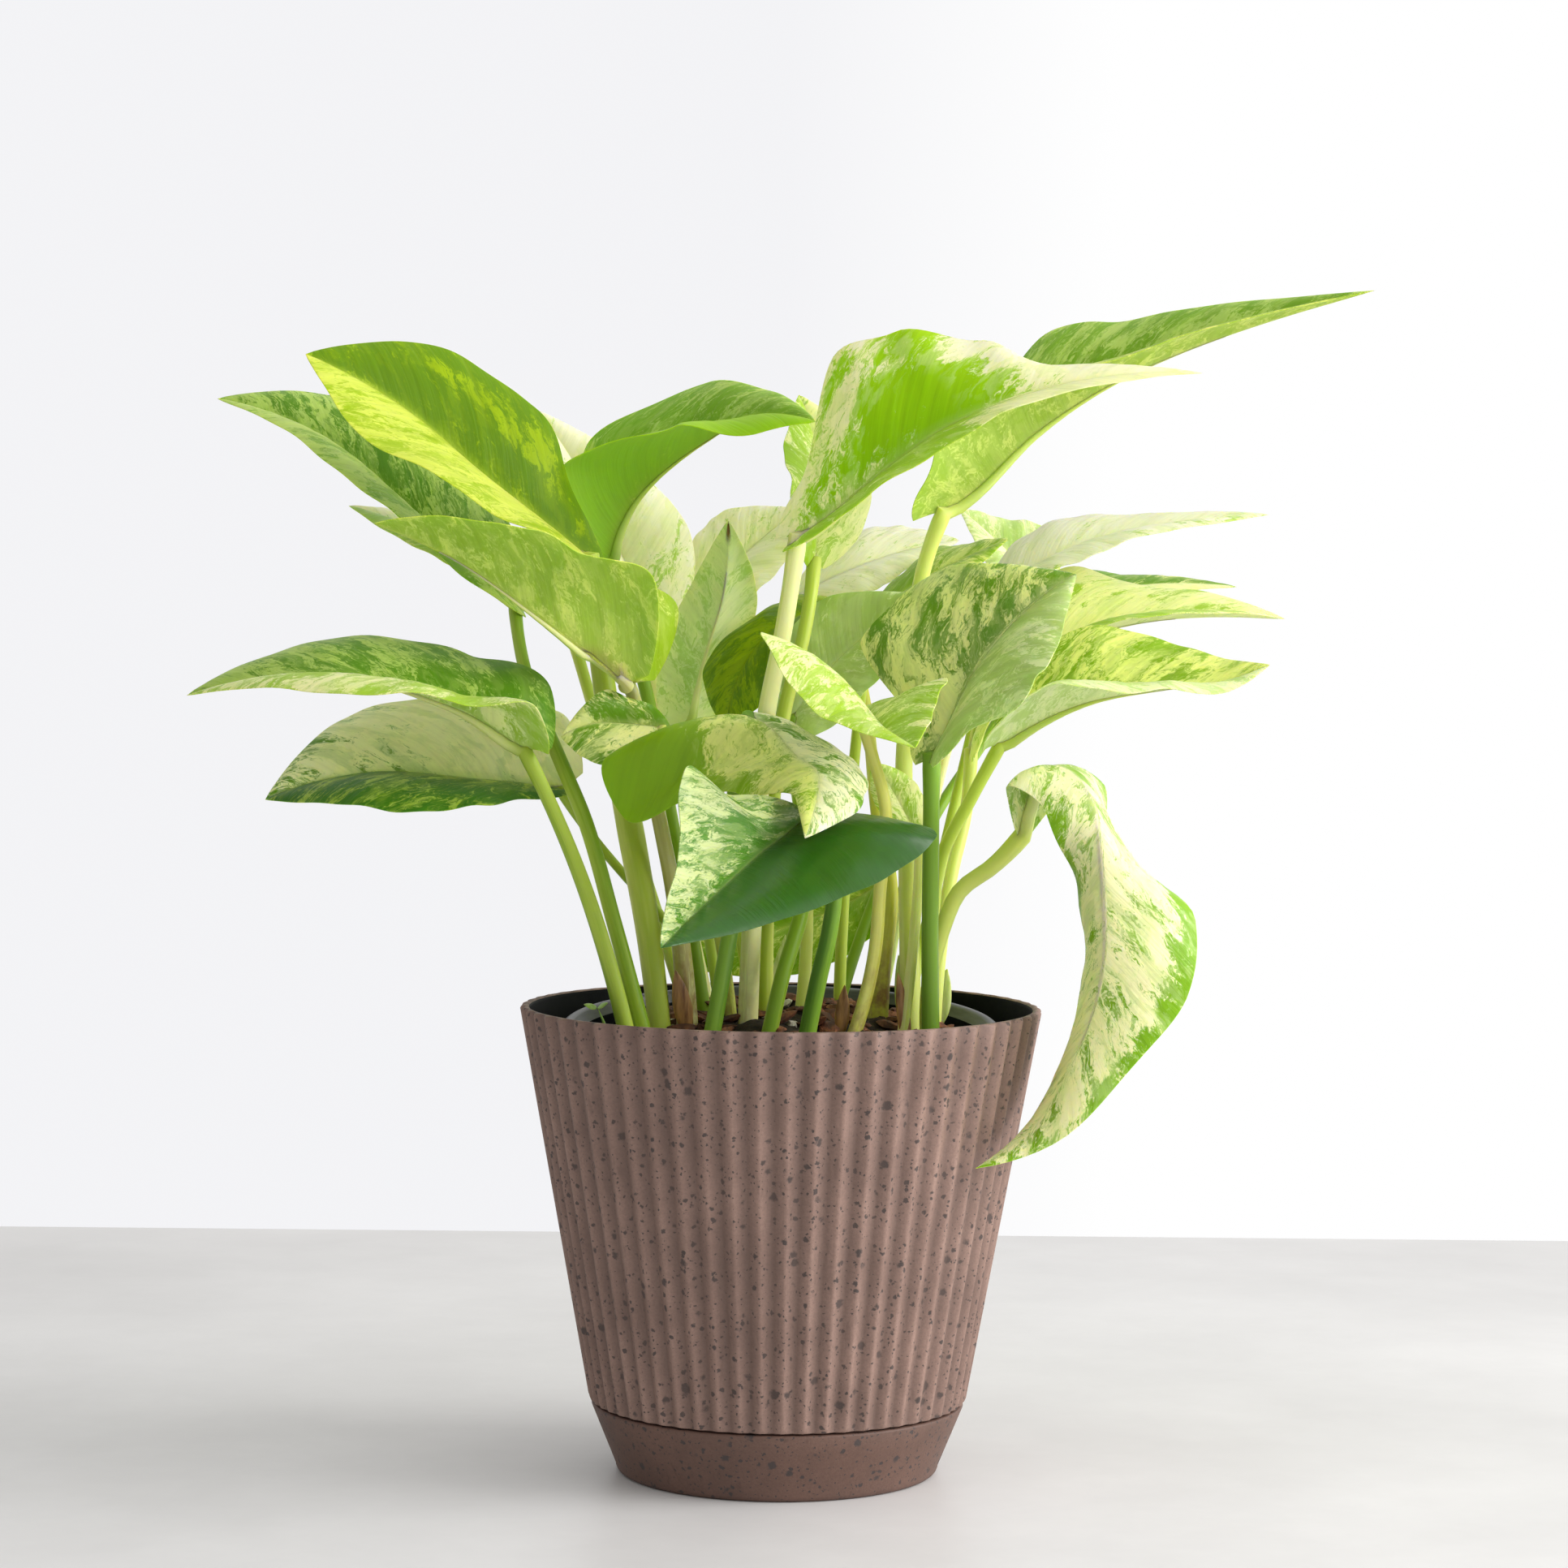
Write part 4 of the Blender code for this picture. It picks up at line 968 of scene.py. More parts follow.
# %% [markdown]
# ## The blade's surface
#
# A blade is worked out as one sheet first: a row of points for each step along the midrib and
# a column for each share of the way out to a margin. The sheet is arched between midrib and
# margin, swept back beside the stalk, which makes the heart's two lobes, and rippled along the
# margin. Two sine waves of different length are enough for a ripple that doesn't look regular.

# %% Blade surface
STEPS = 60
ACROSS = 13
STEP_CROWDING = 1.15
COLUMN_CROWDING = 1.3
RIPPLES = ((0.6, 2.3, 1), (0.25, 6.1, 2))


def blade_grid(one):
    """Points of the blade's middle surface, with a row for each step from base to tip.

    A half reaches from the midrib to the margin's point by a share q. It is arched by 4 times
    the bulge times q times 1 - q, swept back into a lobe beside the stalk, and rippled along
    its margin. Columns crowd towards the midrib, where the surface bends most. A ripple is
    (height in mm, waves along the blade, times the leaf's own phase).
    """
    shares = np.array([row[0] for row in one["rows"]])
    knots = np.concatenate(([0.0], shares, [1.0]))
    middles = np.array([one["base"], *[row[1] for row in one["rows"]], one["tip"]], float)
    s = np.linspace(0, 1, STEPS + 1) ** STEP_CROWDING
    midrib = smooth_curve(knots, middles, s)
    along = unit(np.gradient(midrib, s, axis=0))
    length = np.linalg.norm(np.diff(midrib, axis=0), axis=1).sum()
    width = half_width(s, one["root"], one["taper"])
    width_at_rows = half_width(shares, one["root"], one["taper"])[:, None]
    bulges = one["bulge"] if isinstance(one["bulge"], tuple) else (one["bulge"],) * 2
    q = (np.linspace(0, 1, ACROSS + 1) ** COLUMN_CROWDING)[None, :, None]
    halves, reaches = [], []
    for side, column, bulge in ((-1, 2, bulges[0]), (1, 3, bulges[1])):
        reach = np.array([np.subtract(row[column], row[1]) for row in one["rows"]], float)
        chord = width[:, None] * eased(shares, reach / width_at_rows, s)
        face = unit(np.cross(chord, along) + 1e-9) * side
        size = np.linalg.norm(chord, axis=1)[:, None, None]
        points = midrib[:, None] + q * chord[:, None] + 4 * bulge * q * (1 - q) * size * face[:, None]
        swept = one["lobe"] * length * (1 - s) ** 3
        points = points - swept[:, None, None] * q ** 1.4 * along[0]
        phase = one["phase"] + (0.0 if side < 0 else 1.7)
        ripple = width * sum(high * np.sin(2 * math.pi * (waves * s + times * phase))
                             for high, waves, times in RIPPLES)
        halves.append(points + ripple[:, None, None] * q ** 2 * face[:, None])
        reaches.append(size[:, :, 0] * q[:, :, 0])
    grid = np.concatenate([halves[0][:, ::-1], halves[1][:, 1:]], axis=1)
    out = np.concatenate([-reaches[0][:, ::-1], reaches[1][:, 1:]], axis=1)
    part = np.concatenate([-q[0, ::-1, 0], q[0, 1:, 0]])
    return grid, midrib, s, length, out, part


def grid_normals(grid):
    """The upper face's direction at each grid point, from its neighbours."""
    forward = np.gradient(grid, axis=0)
    sideways = np.gradient(grid, axis=1)
    sideways[-1] = sideways[-2]
    return unit(np.cross(sideways, forward))


print("a blade's grid has", STEPS + 1, "rows of", 2 * ACROSS + 1, "points")

# %% [markdown]
# ## Marbling
#
# Marble queen leaves carry green and cream tissue in streaks that follow the side veins: they
# leave the midrib at about fifty degrees and sweep towards the tip. So every point gets flow
# coordinates in millimetres. The first stays the same along a side vein and the second grows
# along it, and noise that is squeezed along the first and stretched along the second gives
# streaks. How much cream a place has is a number from 0 to 1 that is set for each half of each
# leaf at its base, middle and tip, and the noise decides where the border runs.

# %% Hues of leaves and stalks
HUES = {
    "lime": ((0.13, 0.25, 0.001), (0.31, 0.43, 0.001)),
    "soft": ((0.34, 0.50, 0.02), (0.70, 0.77, 0.17)),
    "honey": ((0.33, 0.47, 0.01), (0.62, 0.69, 0.10)),
    "moss": ((0.21, 0.40, 0.012), (0.50, 0.63, 0.14)),
    "clover": ((0.11, 0.27, 0.008), (0.44, 0.58, 0.12)),
    "forest": ((0.050, 0.18, 0.006), (0.38, 0.50, 0.07)),
    "grass": ((0.32, 0.58, 0.001), (0.62, 0.78, 0.04)),
    "butter": ((0.34, 0.57, 0.001), (0.94, 0.94, 0.55)),
    "fresh": ((0.25, 0.43, 0.008), (0.76, 0.80, 0.24)),
    "marble": ((0.15, 0.33, 0.006), (0.86, 0.88, 0.36)),
    "spotted": ((0.14, 0.32, 0.008), (0.95, 0.95, 0.58)),
    "meadow": ((0.24, 0.45, 0.010), (0.95, 0.95, 0.55)),
    "chalk": ((0.08, 0.24, 0.010), (0.60, 0.67, 0.31)),
    "deep": ((0.024, 0.115, 0.006), (0.50, 0.60, 0.22)),
    "pale": ((0.36, 0.55, 0.03), (0.86, 0.90, 0.42)),
    "milk": ((0.46, 0.62, 0.10), (0.94, 0.95, 0.64)),
    "mist": ((0.52, 0.68, 0.20), (0.84, 0.90, 0.50)),
}
STALKS = {
    "bottle": ((0.10, 0.25, 0.015), (0.24, 0.42, 0.04)),
    "jade": ((0.25, 0.42, 0.02), (0.48, 0.62, 0.08)),
    "celery": ((0.48, 0.60, 0.07), (0.70, 0.77, 0.18)),
    "straw": ((0.60, 0.60, 0.08), (0.78, 0.76, 0.22)),
    "tan": ((0.48, 0.46, 0.13), (0.68, 0.66, 0.28)),
    "ivory": ((0.72, 0.79, 0.20), (0.93, 0.94, 0.46)),
}
print(len(HUES), "pairs of green and cream,", len(STALKS), "pairs for stalks")

# %% Tissue of a blade
VEIN_SLOPE = 0.85
STATIONS = (0.0, 0.5, 1.0)
MIDRIB_BLEND = 0.06


def tissue(one, s, out, part, length):
    """Green, cream, paint and flow for each grid point of a blade.

    The halves' hues meet over the midrib by a hyperbolic tangent. paint holds the share of
    cream, a bell curve over the midrib, and a scar's strength. flow is (distance along the
    midrib less VEIN_SLOPE times the distance from it, that distance, a seed for the noise).
    """
    left = part < 0
    mix = 0.5 + 0.5 * np.tanh(part / MIDRIB_BLEND)
    both = [np.interp(s, STATIONS, one[k])[:, None] for k in ("left", "right")]
    share = both[0] * (1 - mix) + both[1] * mix
    for at, q, along, across, more in one["spots"]:
        d = ((s[:, None] - at) / along) ** 2 + ((part[None, :] - q) / across) ** 2
        share = share + more * np.exp(-d ** 2)
    rib = np.exp(-(out / (0.45 + 0.9 * (1 - s[:, None]))) ** 2)
    scar = np.zeros_like(share)
    for at, q, radius in one["scars"]:
        reach = np.hypot((s[:, None] - at) * length, (part[None, :] - q) * np.abs(out).max())
        scar = scar + np.exp(-(reach / radius) ** 4)
    hues = one["hue"] if isinstance(one["hue"], tuple) else (one["hue"],) * 2
    pairs = zip(HUES[hues[0]], HUES[hues[1]])
    colours = [np.array(a) * (1 - mix[:, None]) + np.array(b) * mix[:, None] for a, b in pairs]
    green, cream = (np.broadcast_to(c[None], (*share.shape, 3)) for c in colours)
    flow = np.stack([(s[:, None] * length) - VEIN_SLOPE * np.abs(out), np.abs(out) + 0 * share,
                     np.full(share.shape, 10.0 * one["number"]) + 3.0 * left[None, :]], axis=-1)
    paint = np.stack([share, rib, scar], axis=-1)
    return green, cream, paint, flow


print("a side vein leaves the midrib at", round(math.degrees(math.atan2(1, VEIN_SLOPE))), "degrees")

# %% [markdown]
# ## The skin of a leaf
#
# Noise of three sizes is added to the share of cream: broad patches, streaks and flecks. A
# steep ramp then turns the sum into green or cream with a narrow half-tone border. A veil of
# the middle tone lies over some places, as on the real blades, where green shows through a
# thin pale layer. Light wanders a little way inside the tissue before it turns, and blue light
# far less, so a blade lit from behind glows yellow-green. The underside is paler and duller.

# %% Marbling of the tissue
PATCHES = (((0.11, 0.07, 1.0), 2.0, 0.5, 1.2), ((0.34, 0.20, 1.0), 2.0, 0.55, 1.1),
           ((1.2, 0.95, 1.0), 3.0, 0.65, 1.15))
BORDER = ((0.31, 0.0), (0.42, 0.14), (0.49, 0.36), (0.55, 0.76), (0.67, 1.0))
WOBBLE = (13.0, 11.0, 0.0)
VEIL_SHIFT = (3.0, 1.0, 57.0)


def marbling(n, share, flow, green, cream):
    """Green and cream by a ramp of the share of cream plus noise, and the finest noise.

    Each noise in PATCHES is (stretch, detail, roughness, how much of it is added).
    """
    wobble = n.add("ShaderNodeVectorMath", settings={"operation": "MULTIPLY_ADD"},
                   i0=n.noise(flow, 0.14, detail=4.0, out="Color"), i1=WOBBLE, i2=flow)
    level = share
    for stretch, detail, roughness, much in PATCHES:
        noise = n.noise(n.stretch(wobble, stretch), 1.0, detail=detail, roughness=roughness)
        level = n.maths("ADD", level, n.maths("MULTIPLY_ADD", noise, much, -0.5 * much))
    colour = n.blend(n.ramp(level, BORDER), green, cream)
    veil = n.add("ShaderNodeVectorMath", settings={"operation": "ADD"}, i0=wobble, i1=VEIL_SHIFT)
    veil = n.noise(n.stretch(veil, (0.16, 0.10, 1.0)), 1.0, detail=3.0, roughness=0.6)
    veil = n.maths("MULTIPLY", n.ramp(veil, [(0.5, 0.0), (0.6, 0.45)]),
                   n.ramp(share, [(0.0, 0.0), (0.15, 1.0)]))
    return n.blend(veil, colour, n.blend(0.5, green, cream)), noise


print("noises in the marbling:", len(PATCHES))

# %% Leaf finishes
PALE_FACE = (0.46, 0.60, 0.22)
SCAR_DARK = (0.045, 0.022, 0.012)
SCAR_LIGHT = (0.24, 0.12, 0.04)
UNDERSIDE_ROUGHNESS = 0.62
LEAF_GLOW = (0.8, 1.0, 0.12)


def marbled_finish(tone, shine, gloss, depth):
    """Marbled leaf skin: a soft waxy coat over tissue that light enters depth millimetres deep.

    Fine fibres along the side veins dim the colour by a sum of two noises.
    """
    n = Nodes("leaf_skin_" + tone)
    green, cream = n.stored("green", "Color"), n.stored("cream", "Color")
    flow, face = n.stored("flow"), n.stored("under", "Fac")
    share = n.add("ShaderNodeSeparateXYZ", Vector=n.stored("paint"))
    rib, scar = share.node.outputs[1], share.node.outputs[2]
    colour, fleck = marbling(n, share, flow, green, cream)
    fibre = n.noise(n.stretch(flow, (0.9, 0.05, 1.0)), 1.0, detail=3.0, roughness=0.6)
    soft = n.noise(n.stretch(flow, (0.25, 0.06, 1.0)), 1.0, detail=2.0)
    dim = n.maths("MULTIPLY_ADD", fibre, 0.28, n.maths("MULTIPLY_ADD", soft, 0.3, 0.71))
    colour = n.add("ShaderNodeVectorMath", settings={"operation": "SCALE"}, Vector=colour, Scale=dim)
    colour = n.blend(n.maths("MULTIPLY", rib, 0.45), colour, n.blend(0.75, green, cream))
    colour = n.blend(face, colour, n.blend(0.22, colour, PALE_FACE))
    burnt = n.blend(n.ramp(fleck, [(0.4, 0.0), (0.6, 1.0)]), SCAR_DARK, SCAR_LIGHT)
    colour = n.blend(scar, colour, burnt)
    rough = n.add("ShaderNodeMapRange", Value=face, To_Min=shine, To_Max=UNDERSIDE_ROUGHNESS)
    height = n.maths("MULTIPLY_ADD", soft, 1.0, n.maths("MULTIPLY", fibre, 0.5))
    return n.coat(colour, rough, n.relief(height, 0.45, 0.0006), Specular_IOR_Level=gloss,
                  Subsurface_Weight=1.0, Subsurface_Scale=depth * MM, Subsurface_Radius=LEAF_GLOW)


SKINS = {
    "deep_green": marbled_finish("deep_green", 0.30, 0.5, 0.3),
    "mid_green": marbled_finish("mid_green", 0.42, 0.18, 0.9),
    "yellow_green": marbled_finish("yellow_green", 0.45, 0.12, 1.2),
    "pale_green": marbled_finish("pale_green", 0.45, 0.18, 0.9),
    "cream_green": marbled_finish("cream_green", 0.40, 0.22, 0.7),
}
print("leaf finishes:", sorted(SKINS))

# %% [markdown]
# ## The skin of a stalk
#
# A stalk is juicy and streaked along its length, paler on one side, and a few stalks carry
# the dry brown rest of a sheath near the soil. The streaks are noise on the tube's own
# coordinates, stretched along it, so they bend with the stalk.

# %% Stalk finish
HUSK = (0.30, 0.17, 0.06)
STALK_GLOW = (0.8, 1.0, 0.15)


def stalk_finish():
    """Long faint streaks of two greens, and a husk's brown in patches near the soil."""
    n = Nodes("stalk_skin")
    flow = n.stored("flow")
    split = n.add("ShaderNodeSeparateXYZ", Vector=n.stored("paint"))
    streak = n.noise(n.stretch(flow, (0.7, 0.035, 1.0)), 1.0, detail=3.0)
    patch = n.noise(n.stretch(flow, (0.2, 0.12, 1.0)), 1.0, detail=4.0, roughness=0.65)
    level = n.maths("MULTIPLY_ADD", split, 1.0, n.maths("MULTIPLY_ADD", streak, 0.9, -0.45))
    colour = n.blend(n.ramp(level, [(0.3, 0.0), (0.7, 1.0)]), n.stored("green", "Color"),
                     n.stored("cream", "Color"))
    husk = n.maths("MULTIPLY", split.node.outputs[2], n.ramp(patch, [(0.4, 0.0), (0.58, 1.0)]))
    colour = n.blend(husk, colour, HUSK)
    rough = n.add("ShaderNodeMapRange", Value=patch, To_Min=0.36, To_Max=0.5)
    return n.coat(colour, rough, n.relief(streak, 0.2, 0.0003), Specular_IOR_Level=0.3,
                  Subsurface_Weight=0.8, Subsurface_Scale=0.002, Subsurface_Radius=STALK_GLOW)


stalk_skin = stalk_finish()
print("stalk finish:", stalk_skin.name)

# %% [markdown]
# ## The blade as a thin body
#
# A real blade is about half a millimetre thick and thins out to its margin. Its midrib lies
# in a shallow channel above, and the tissue between the side veins swells a little, which a
# raking light shows as quilting. So the sheet is pushed out both ways along its normals, and
# the channel and two waves across the side veins are added. The closed shell has a real
# inside for light to pass through, which one sheet alone wouldn't have.

# %% Blade as a closed shell
BLADE_THICKNESS = 0.5
EDGE_THICKNESS = 0.24
CHANNEL_DEPTH = 0.12
CHANNEL_WIDTH = 1.4
QUILT_DEPTH = 0.06
QUILT_PITCHES = (5.3, 8.1)


def blade_shell(one):
    """The sheet pushed out both ways, thick at the midrib and thin at the margin.

    The thickness falls with the square root of the distance from the margin, the channel is a
    bell curve over the midrib, and the quilt is a sum of sine waves across the side veins.
    """
    grid, midrib, s, length, out, part = blade_grid(one)
    normals = grid_normals(grid)
    gap = EDGE_THICKNESS + (BLADE_THICKNESS - EDGE_THICKNESS) * (1 - np.abs(part)) ** 0.5
    gap = np.minimum(gap[None, :], 0.12 + 0.15 * np.abs(out).max(axis=1)[:, None])
    channel = CHANNEL_DEPTH * np.exp(-(out / CHANNEL_WIDTH) ** 2) * (1 - s[:, None]) ** 0.5
    vein = s[:, None] * length - VEIN_SLOPE * np.abs(out)
    quilt = QUILT_DEPTH * sum(np.sin(2 * math.pi * vein / pitch) for pitch in QUILT_PITCHES)
    quilt = quilt * np.clip(np.abs(out) / 6.0, 0, 1) * (1 - np.abs(part[None, :]) ** 4)
    top = grid + (0.5 * gap - channel + quilt)[..., None] * normals
    under = grid - (0.5 * gap + 0.4 * channel - quilt)[..., None] * normals
    rings = np.concatenate([top[:-1], under[:-1, ::-1]], axis=1)
    looks = [np.concatenate([a[:-1], a[:-1, ::-1]], axis=1)
             for a in tissue(one, s, out, part, length)]
    side = np.concatenate([np.zeros(top[:-1].shape[:2]), np.ones(top[:-1].shape[:2])], axis=1)
    shell = skin(rings, rings[0].mean(axis=0), grid[-1, ACROSS])
    return shell, (*looks, side[..., None]), midrib, normals


print("a blade's shell has", STEPS * 2 * (2 * ACROSS + 1), "points on its rings")

# %% [markdown]
# ## The stalk and the rib
#
# The stalk rises from its hole in the soil, bends where neighbours push it, and swells at the
# knee under the blade. It runs on below the blade as the raised midrib, thinning out to the
# tip. Both are one tube round one path, so there is no seam at the knee. The tube is grooved
# along one side, as the stalks of climbing plants are.

# %% Way of a stalk
STALK_FOOT_HEIGHT = 87.0
STALK_STEP = 3.0
KNEE_SWELL = 0.16
KNEE_LENGTH = 7.0
RIDGE_STEPS = 30
RIDGE_SHARE = 0.8
TIP_RADIUS = 0.16


def stalk_path(one, midrib, normals):
    """Points and radii of the stalk and of the rib, and the number of points in the stalk.

    The knee is a bell curve on the radius. The rib hangs below the midrib by about its own
    radius, which falls with the 1.6th power of the way left to go.
    """
    foot = (*one["foot"], STALK_FOOT_HEIGHT)
    through = np.array([foot, *one["stem"], one["base"]], float)
    distance = np.concatenate(([0.0], np.cumsum(np.linalg.norm(np.diff(through, axis=0), axis=1))))
    s = np.linspace(0, 1, max(12, round(distance[-1] / STALK_STEP)) + 1)
    points = smooth_curve(distance / distance[-1], through, s)
    end_radius = one["radii"][2]
    radii = np.interp(s, STATIONS, one["radii"])
    knee = end_radius * KNEE_SWELL * np.exp(-((1 - s) * distance[-1] / KNEE_LENGTH) ** 2)
    last = int(RIDGE_SHARE * STEPS)
    share = np.linspace(0, 1, RIDGE_STEPS + 1)[1:]
    i = np.clip(share * last, 1, last).astype(int)
    ridge_radii = end_radius * (1 - share) ** 1.6 * 0.8 + TIP_RADIUS
    sunk = np.interp(share, (0, 0.1, 1), (0.3, 1.0, 1.1))
    ridge = midrib[i] - normals[i, ACROSS] * (sunk * ridge_radii)[:, None]
    path = np.concatenate([points, ridge])
    return path, np.concatenate([radii + knee, ridge_radii]), len(points)


print("a rib runs", round(100 * RIDGE_SHARE), "% of the way along its blade")

# %% Stalk as a closed shell
STALK_SIDES = 14
GROOVE_DEPTH = 0.12
SOIL_TOP = 107.0
HUSK_REACH = 26.0
HUSK_FADE = 20.0
RIB_TONES = ((0.55, 0.66, 0.16), (0.78, 0.84, 0.36))


def stalk_looks(one, path, angle, free):
    """Green, cream, paint, flow and side for the tube, whose tones pale where the rib begins."""
    run = np.concatenate(([0.0], np.cumsum(np.linalg.norm(np.diff(path, axis=0), axis=1))))
    shape = (len(path), len(angle))
    beyond = np.clip((run - run[free - 1]) / 6.0, 0, 1)[:, None, None]
    tones = [np.array(c) * (1 - beyond) + np.array(pale) * beyond + np.zeros((*shape, 1))
             for c, pale in zip(STALKS[one["stalk"]], RIB_TONES)]
    height = np.broadcast_to(path[:, None, 2], shape)
    husk = one["husk"] * np.clip((SOIL_TOP + HUSK_REACH - height) / HUSK_FADE, 0, 1)
    pale = 0.5 + 0.3 * np.cos(angle - 0.6)[None, :] + 0 * height
    paint = np.stack([pale, np.zeros(shape), husk], axis=-1)
    flow = np.stack([np.broadcast_to(angle * 2.0, shape), np.broadcast_to(run[:, None], shape),
                     np.full(shape, 7.0 * one["number"])], axis=-1)
    return (*tones, paint, flow, np.zeros((*shape, 1)))


def stalk_shell(one, midrib, normals):
    """A tube from the soil to the base that runs on as a rib below the midrib.

    The tube's sides are measured from the direction that its path moves in least, so they
    never twist. The groove is a bell curve on the radius about one side.
    """
    path, radii, free = stalk_path(one, midrib, normals)
    forward = unit(np.gradient(path, axis=0))
    steady = np.linalg.svd(forward)[2][-1]
    side = unit(steady - forward * (forward @ steady)[:, None])
    other = np.cross(forward, side)
    angle = 2 * math.pi * np.arange(STALK_SIDES) / STALK_SIDES
    groove = 1 - GROOVE_DEPTH * np.exp(-((angle - math.pi / 2) / 0.5) ** 2)
    ring = side[:, None] * np.cos(angle)[:, None] + other[:, None] * np.sin(angle)[:, None]
    rings = path[:, None] + ring * (radii[:, None] * groove)[..., None]
    return skin(rings, path[0], path[-1]), stalk_looks(one, path, angle, free)


print("stalks start", round(SOIL_TOP - STALK_FOOT_HEIGHT), "mm down in the soil")

# %% [markdown]
# ## One call for a leaf
#
# Blade and stalk are grown as one on the plant, so they are two shells of one piece that
# stands for the packed solid of the same name. One function takes what differs from leaf to
# leaf: the points, the stalk's way, the radii, the hues and the shares of cream. Everything
# else is common to all thirty, so a change made in one place shows on every leaf.

# %% Leaf builder
made = []


def leaf(name, tone, base, tip, rows, foot, stem, radii, hue, left, right, stalk,
         spots=(), scars=(), husk=0.0, root=BLADE_ROOT, taper=BLADE_TAPER, bulge=0.1, lobe=0.05):
    """Build one leaf with its stalk, in place of the packed solid of the same name.

    rows holds, for each share of the way from base to tip, a point on the midrib, one on the
    left margin and one on the right. stem lists points that the stalk passes between its foot
    and the base. left and right give the share of cream at the base, middle and tip of each
    half. spots add (place along, place across, reach along, reach across, more cream). scars
    are (place along, place across, radius in mm). root, taper, bulge and lobe shape the heart.
    """
    one = dict(base=base, tip=tip, rows=rows, foot=foot, stem=stem, radii=radii, hue=hue, left=left,
               right=right, stalk=stalk, spots=spots, scars=scars, husk=husk, root=root,
               taper=taper, bulge=bulge, lobe=lobe, number=len(made), phase=0.37 * len(made) % 1)
    blade, blade_looks, midrib, normals = blade_shell(one)
    stem_shell, stem_looks = stalk_shell(one, midrib, normals)
    looks = [np.concatenate([per_point(a), per_point(b)]) for a, b in zip(blade_looks, stem_looks)]
    opaque = np.ones((len(looks[0]), 1))
    attributes = {
        "green": ("FLOAT_COLOR", np.concatenate([looks[0], opaque], axis=1)),
        "cream": ("FLOAT_COLOR", np.concatenate([looks[1], opaque], axis=1)),
        "paint": ("FLOAT_VECTOR", looks[2]),
        "flow": ("FLOAT_VECTOR", looks[3]),
        "under": ("FLOAT_COLOR", np.concatenate([np.repeat(looks[4], 3, axis=1), opaque], axis=1)),
    }
    made.append(build(name + "_grown", [(*blade, 0), (*stem_shell, 1)], [SKINS[tone], stalk_skin],
                      (name,), sharp=55.0, attributes=attributes))


print("leaves so far:", len(made))

# %% [markdown]
# ## Leaves at the upper left
#
# The thirty leaves run from the left of the pot to the right and then to the middle, each with
# its points in millimetres. The first three fan out at the upper left. The fourth is still
# half folded, so both its margins lie above its midrib. The fifth turns to the right and
# shows one green half and one golden half, so its halves have different hues.

# %% Leaves 1 to 5
leaf("leaf_01", "yellow_green", base=(-47, 5, 218), tip=(-113, -12, 265),
     rows=[(0.12, (-53, 3, 223), (-55, -9, 222), (-51, 10, 231)),
           (0.4, (-71, -1, 237), (-75, -23, 233), (-61, 14, 255)),
           (0.72, (-92, -5, 254), (-101, -21, 248), (-88, 8, 269))],
     foot=(-27, -10), stem=[(-32, -8, 131), (-37, 0, 156), (-43, 3, 187)],
     radii=(2.5, 3.4, 2.4), bulge=(0.05, 0.08),
     hue=("honey", "lime"), left=(0.6, 0.6, 0.55), right=(0.3, 0.2, 0.35), stalk="celery",
     spots=[(0.4, 0.62, 0.3, 0.2, 0.35), (0.75, 0.3, 0.12, 0.3, -0.2)])
leaf("leaf_02", "mid_green", base=(-66, 26, 207), tip=(-141, 40, 257),
     rows=[(0.35, (-89, 28, 227), (-92, 8, 226), (-83, 46, 244)),
           (0.7, (-114, 33, 247), (-116, 15, 245), (-109, 47, 258))],
     foot=(-27, -18), stem=[(-39, -21, 132), (-47, -17, 158), (-52, -13, 169), (-62, 8, 190)],
     radii=(1.9, 1.8, 1.5),
     hue=("moss", "clover"), left=(0.5, 0.6, 0.7), right=(0.45, 0.45, 0.6), stalk="jade",
     scars=[(0.66, -0.1, 1.6)])
leaf("leaf_03", "pale_green", base=(-54, 54, 201), tip=(-109, 46, 231),
     rows=[(0.35, (-73, 52, 215), (-73, 32, 213), (-71, 74, 218)),
           (0.7, (-92, 48, 225), (-92, 30, 221), (-92, 68, 228))],
     foot=(-16, 28), stem=[(-46, 45, 176)],
     radii=(1.7, 1.7, 1.5),
     hue=("mist", "milk"), left=(0.35, 0.3, 0.25), right=(0.8, 0.85, 0.9), stalk="celery")
leaf("leaf_04", "mid_green", base=(-37, -18, 188), tip=(-94, -38, 225),
     rows=[(0.12, (-43, -22, 193), (-31, -30, 211), (-27, -8, 206)),
           (0.4, (-57, -30, 204), (-49, -43, 220), (-49, -14, 215)),
           (0.72, (-76, -34, 217), (-70, -45, 226), (-71, -24, 222))],
     foot=(-22, -8), stem=[(-25, -7, 135), (-29, -6, 155), (-36, -4, 186)],
     radii=(3.0, 1.9, 1.6),
     hue="soft", left=(0.35, 0.4, 0.42), right=(0.3, 0.38, 0.45), stalk="tan", husk=1.0)
leaf("leaf_05", "yellow_green", base=(-43, 30, 216), tip=(7, 4, 251),
     rows=[(0.3, (-37, 34, 233), (-50, 50, 247), (-55, 17, 240)),
           (0.6, (-20, 28, 247), (-20, 46, 263), (-27, 8, 250)),
           (0.83, (-6, 16, 253), (-3, 26, 259), (-6, 0, 248))],
     foot=(-15, 5), stem=[(-29, 14, 165), (-34, 25, 187), (-38, 28, 201)],
     radii=(1.9, 1.8, 1.6), taper=0.85,
     hue=("moss", "grass"), left=(0.35, 0.4, 0.3), right=(0.0, 0.0, 0.05), stalk="jade")
print("leaves so far:", len(made))

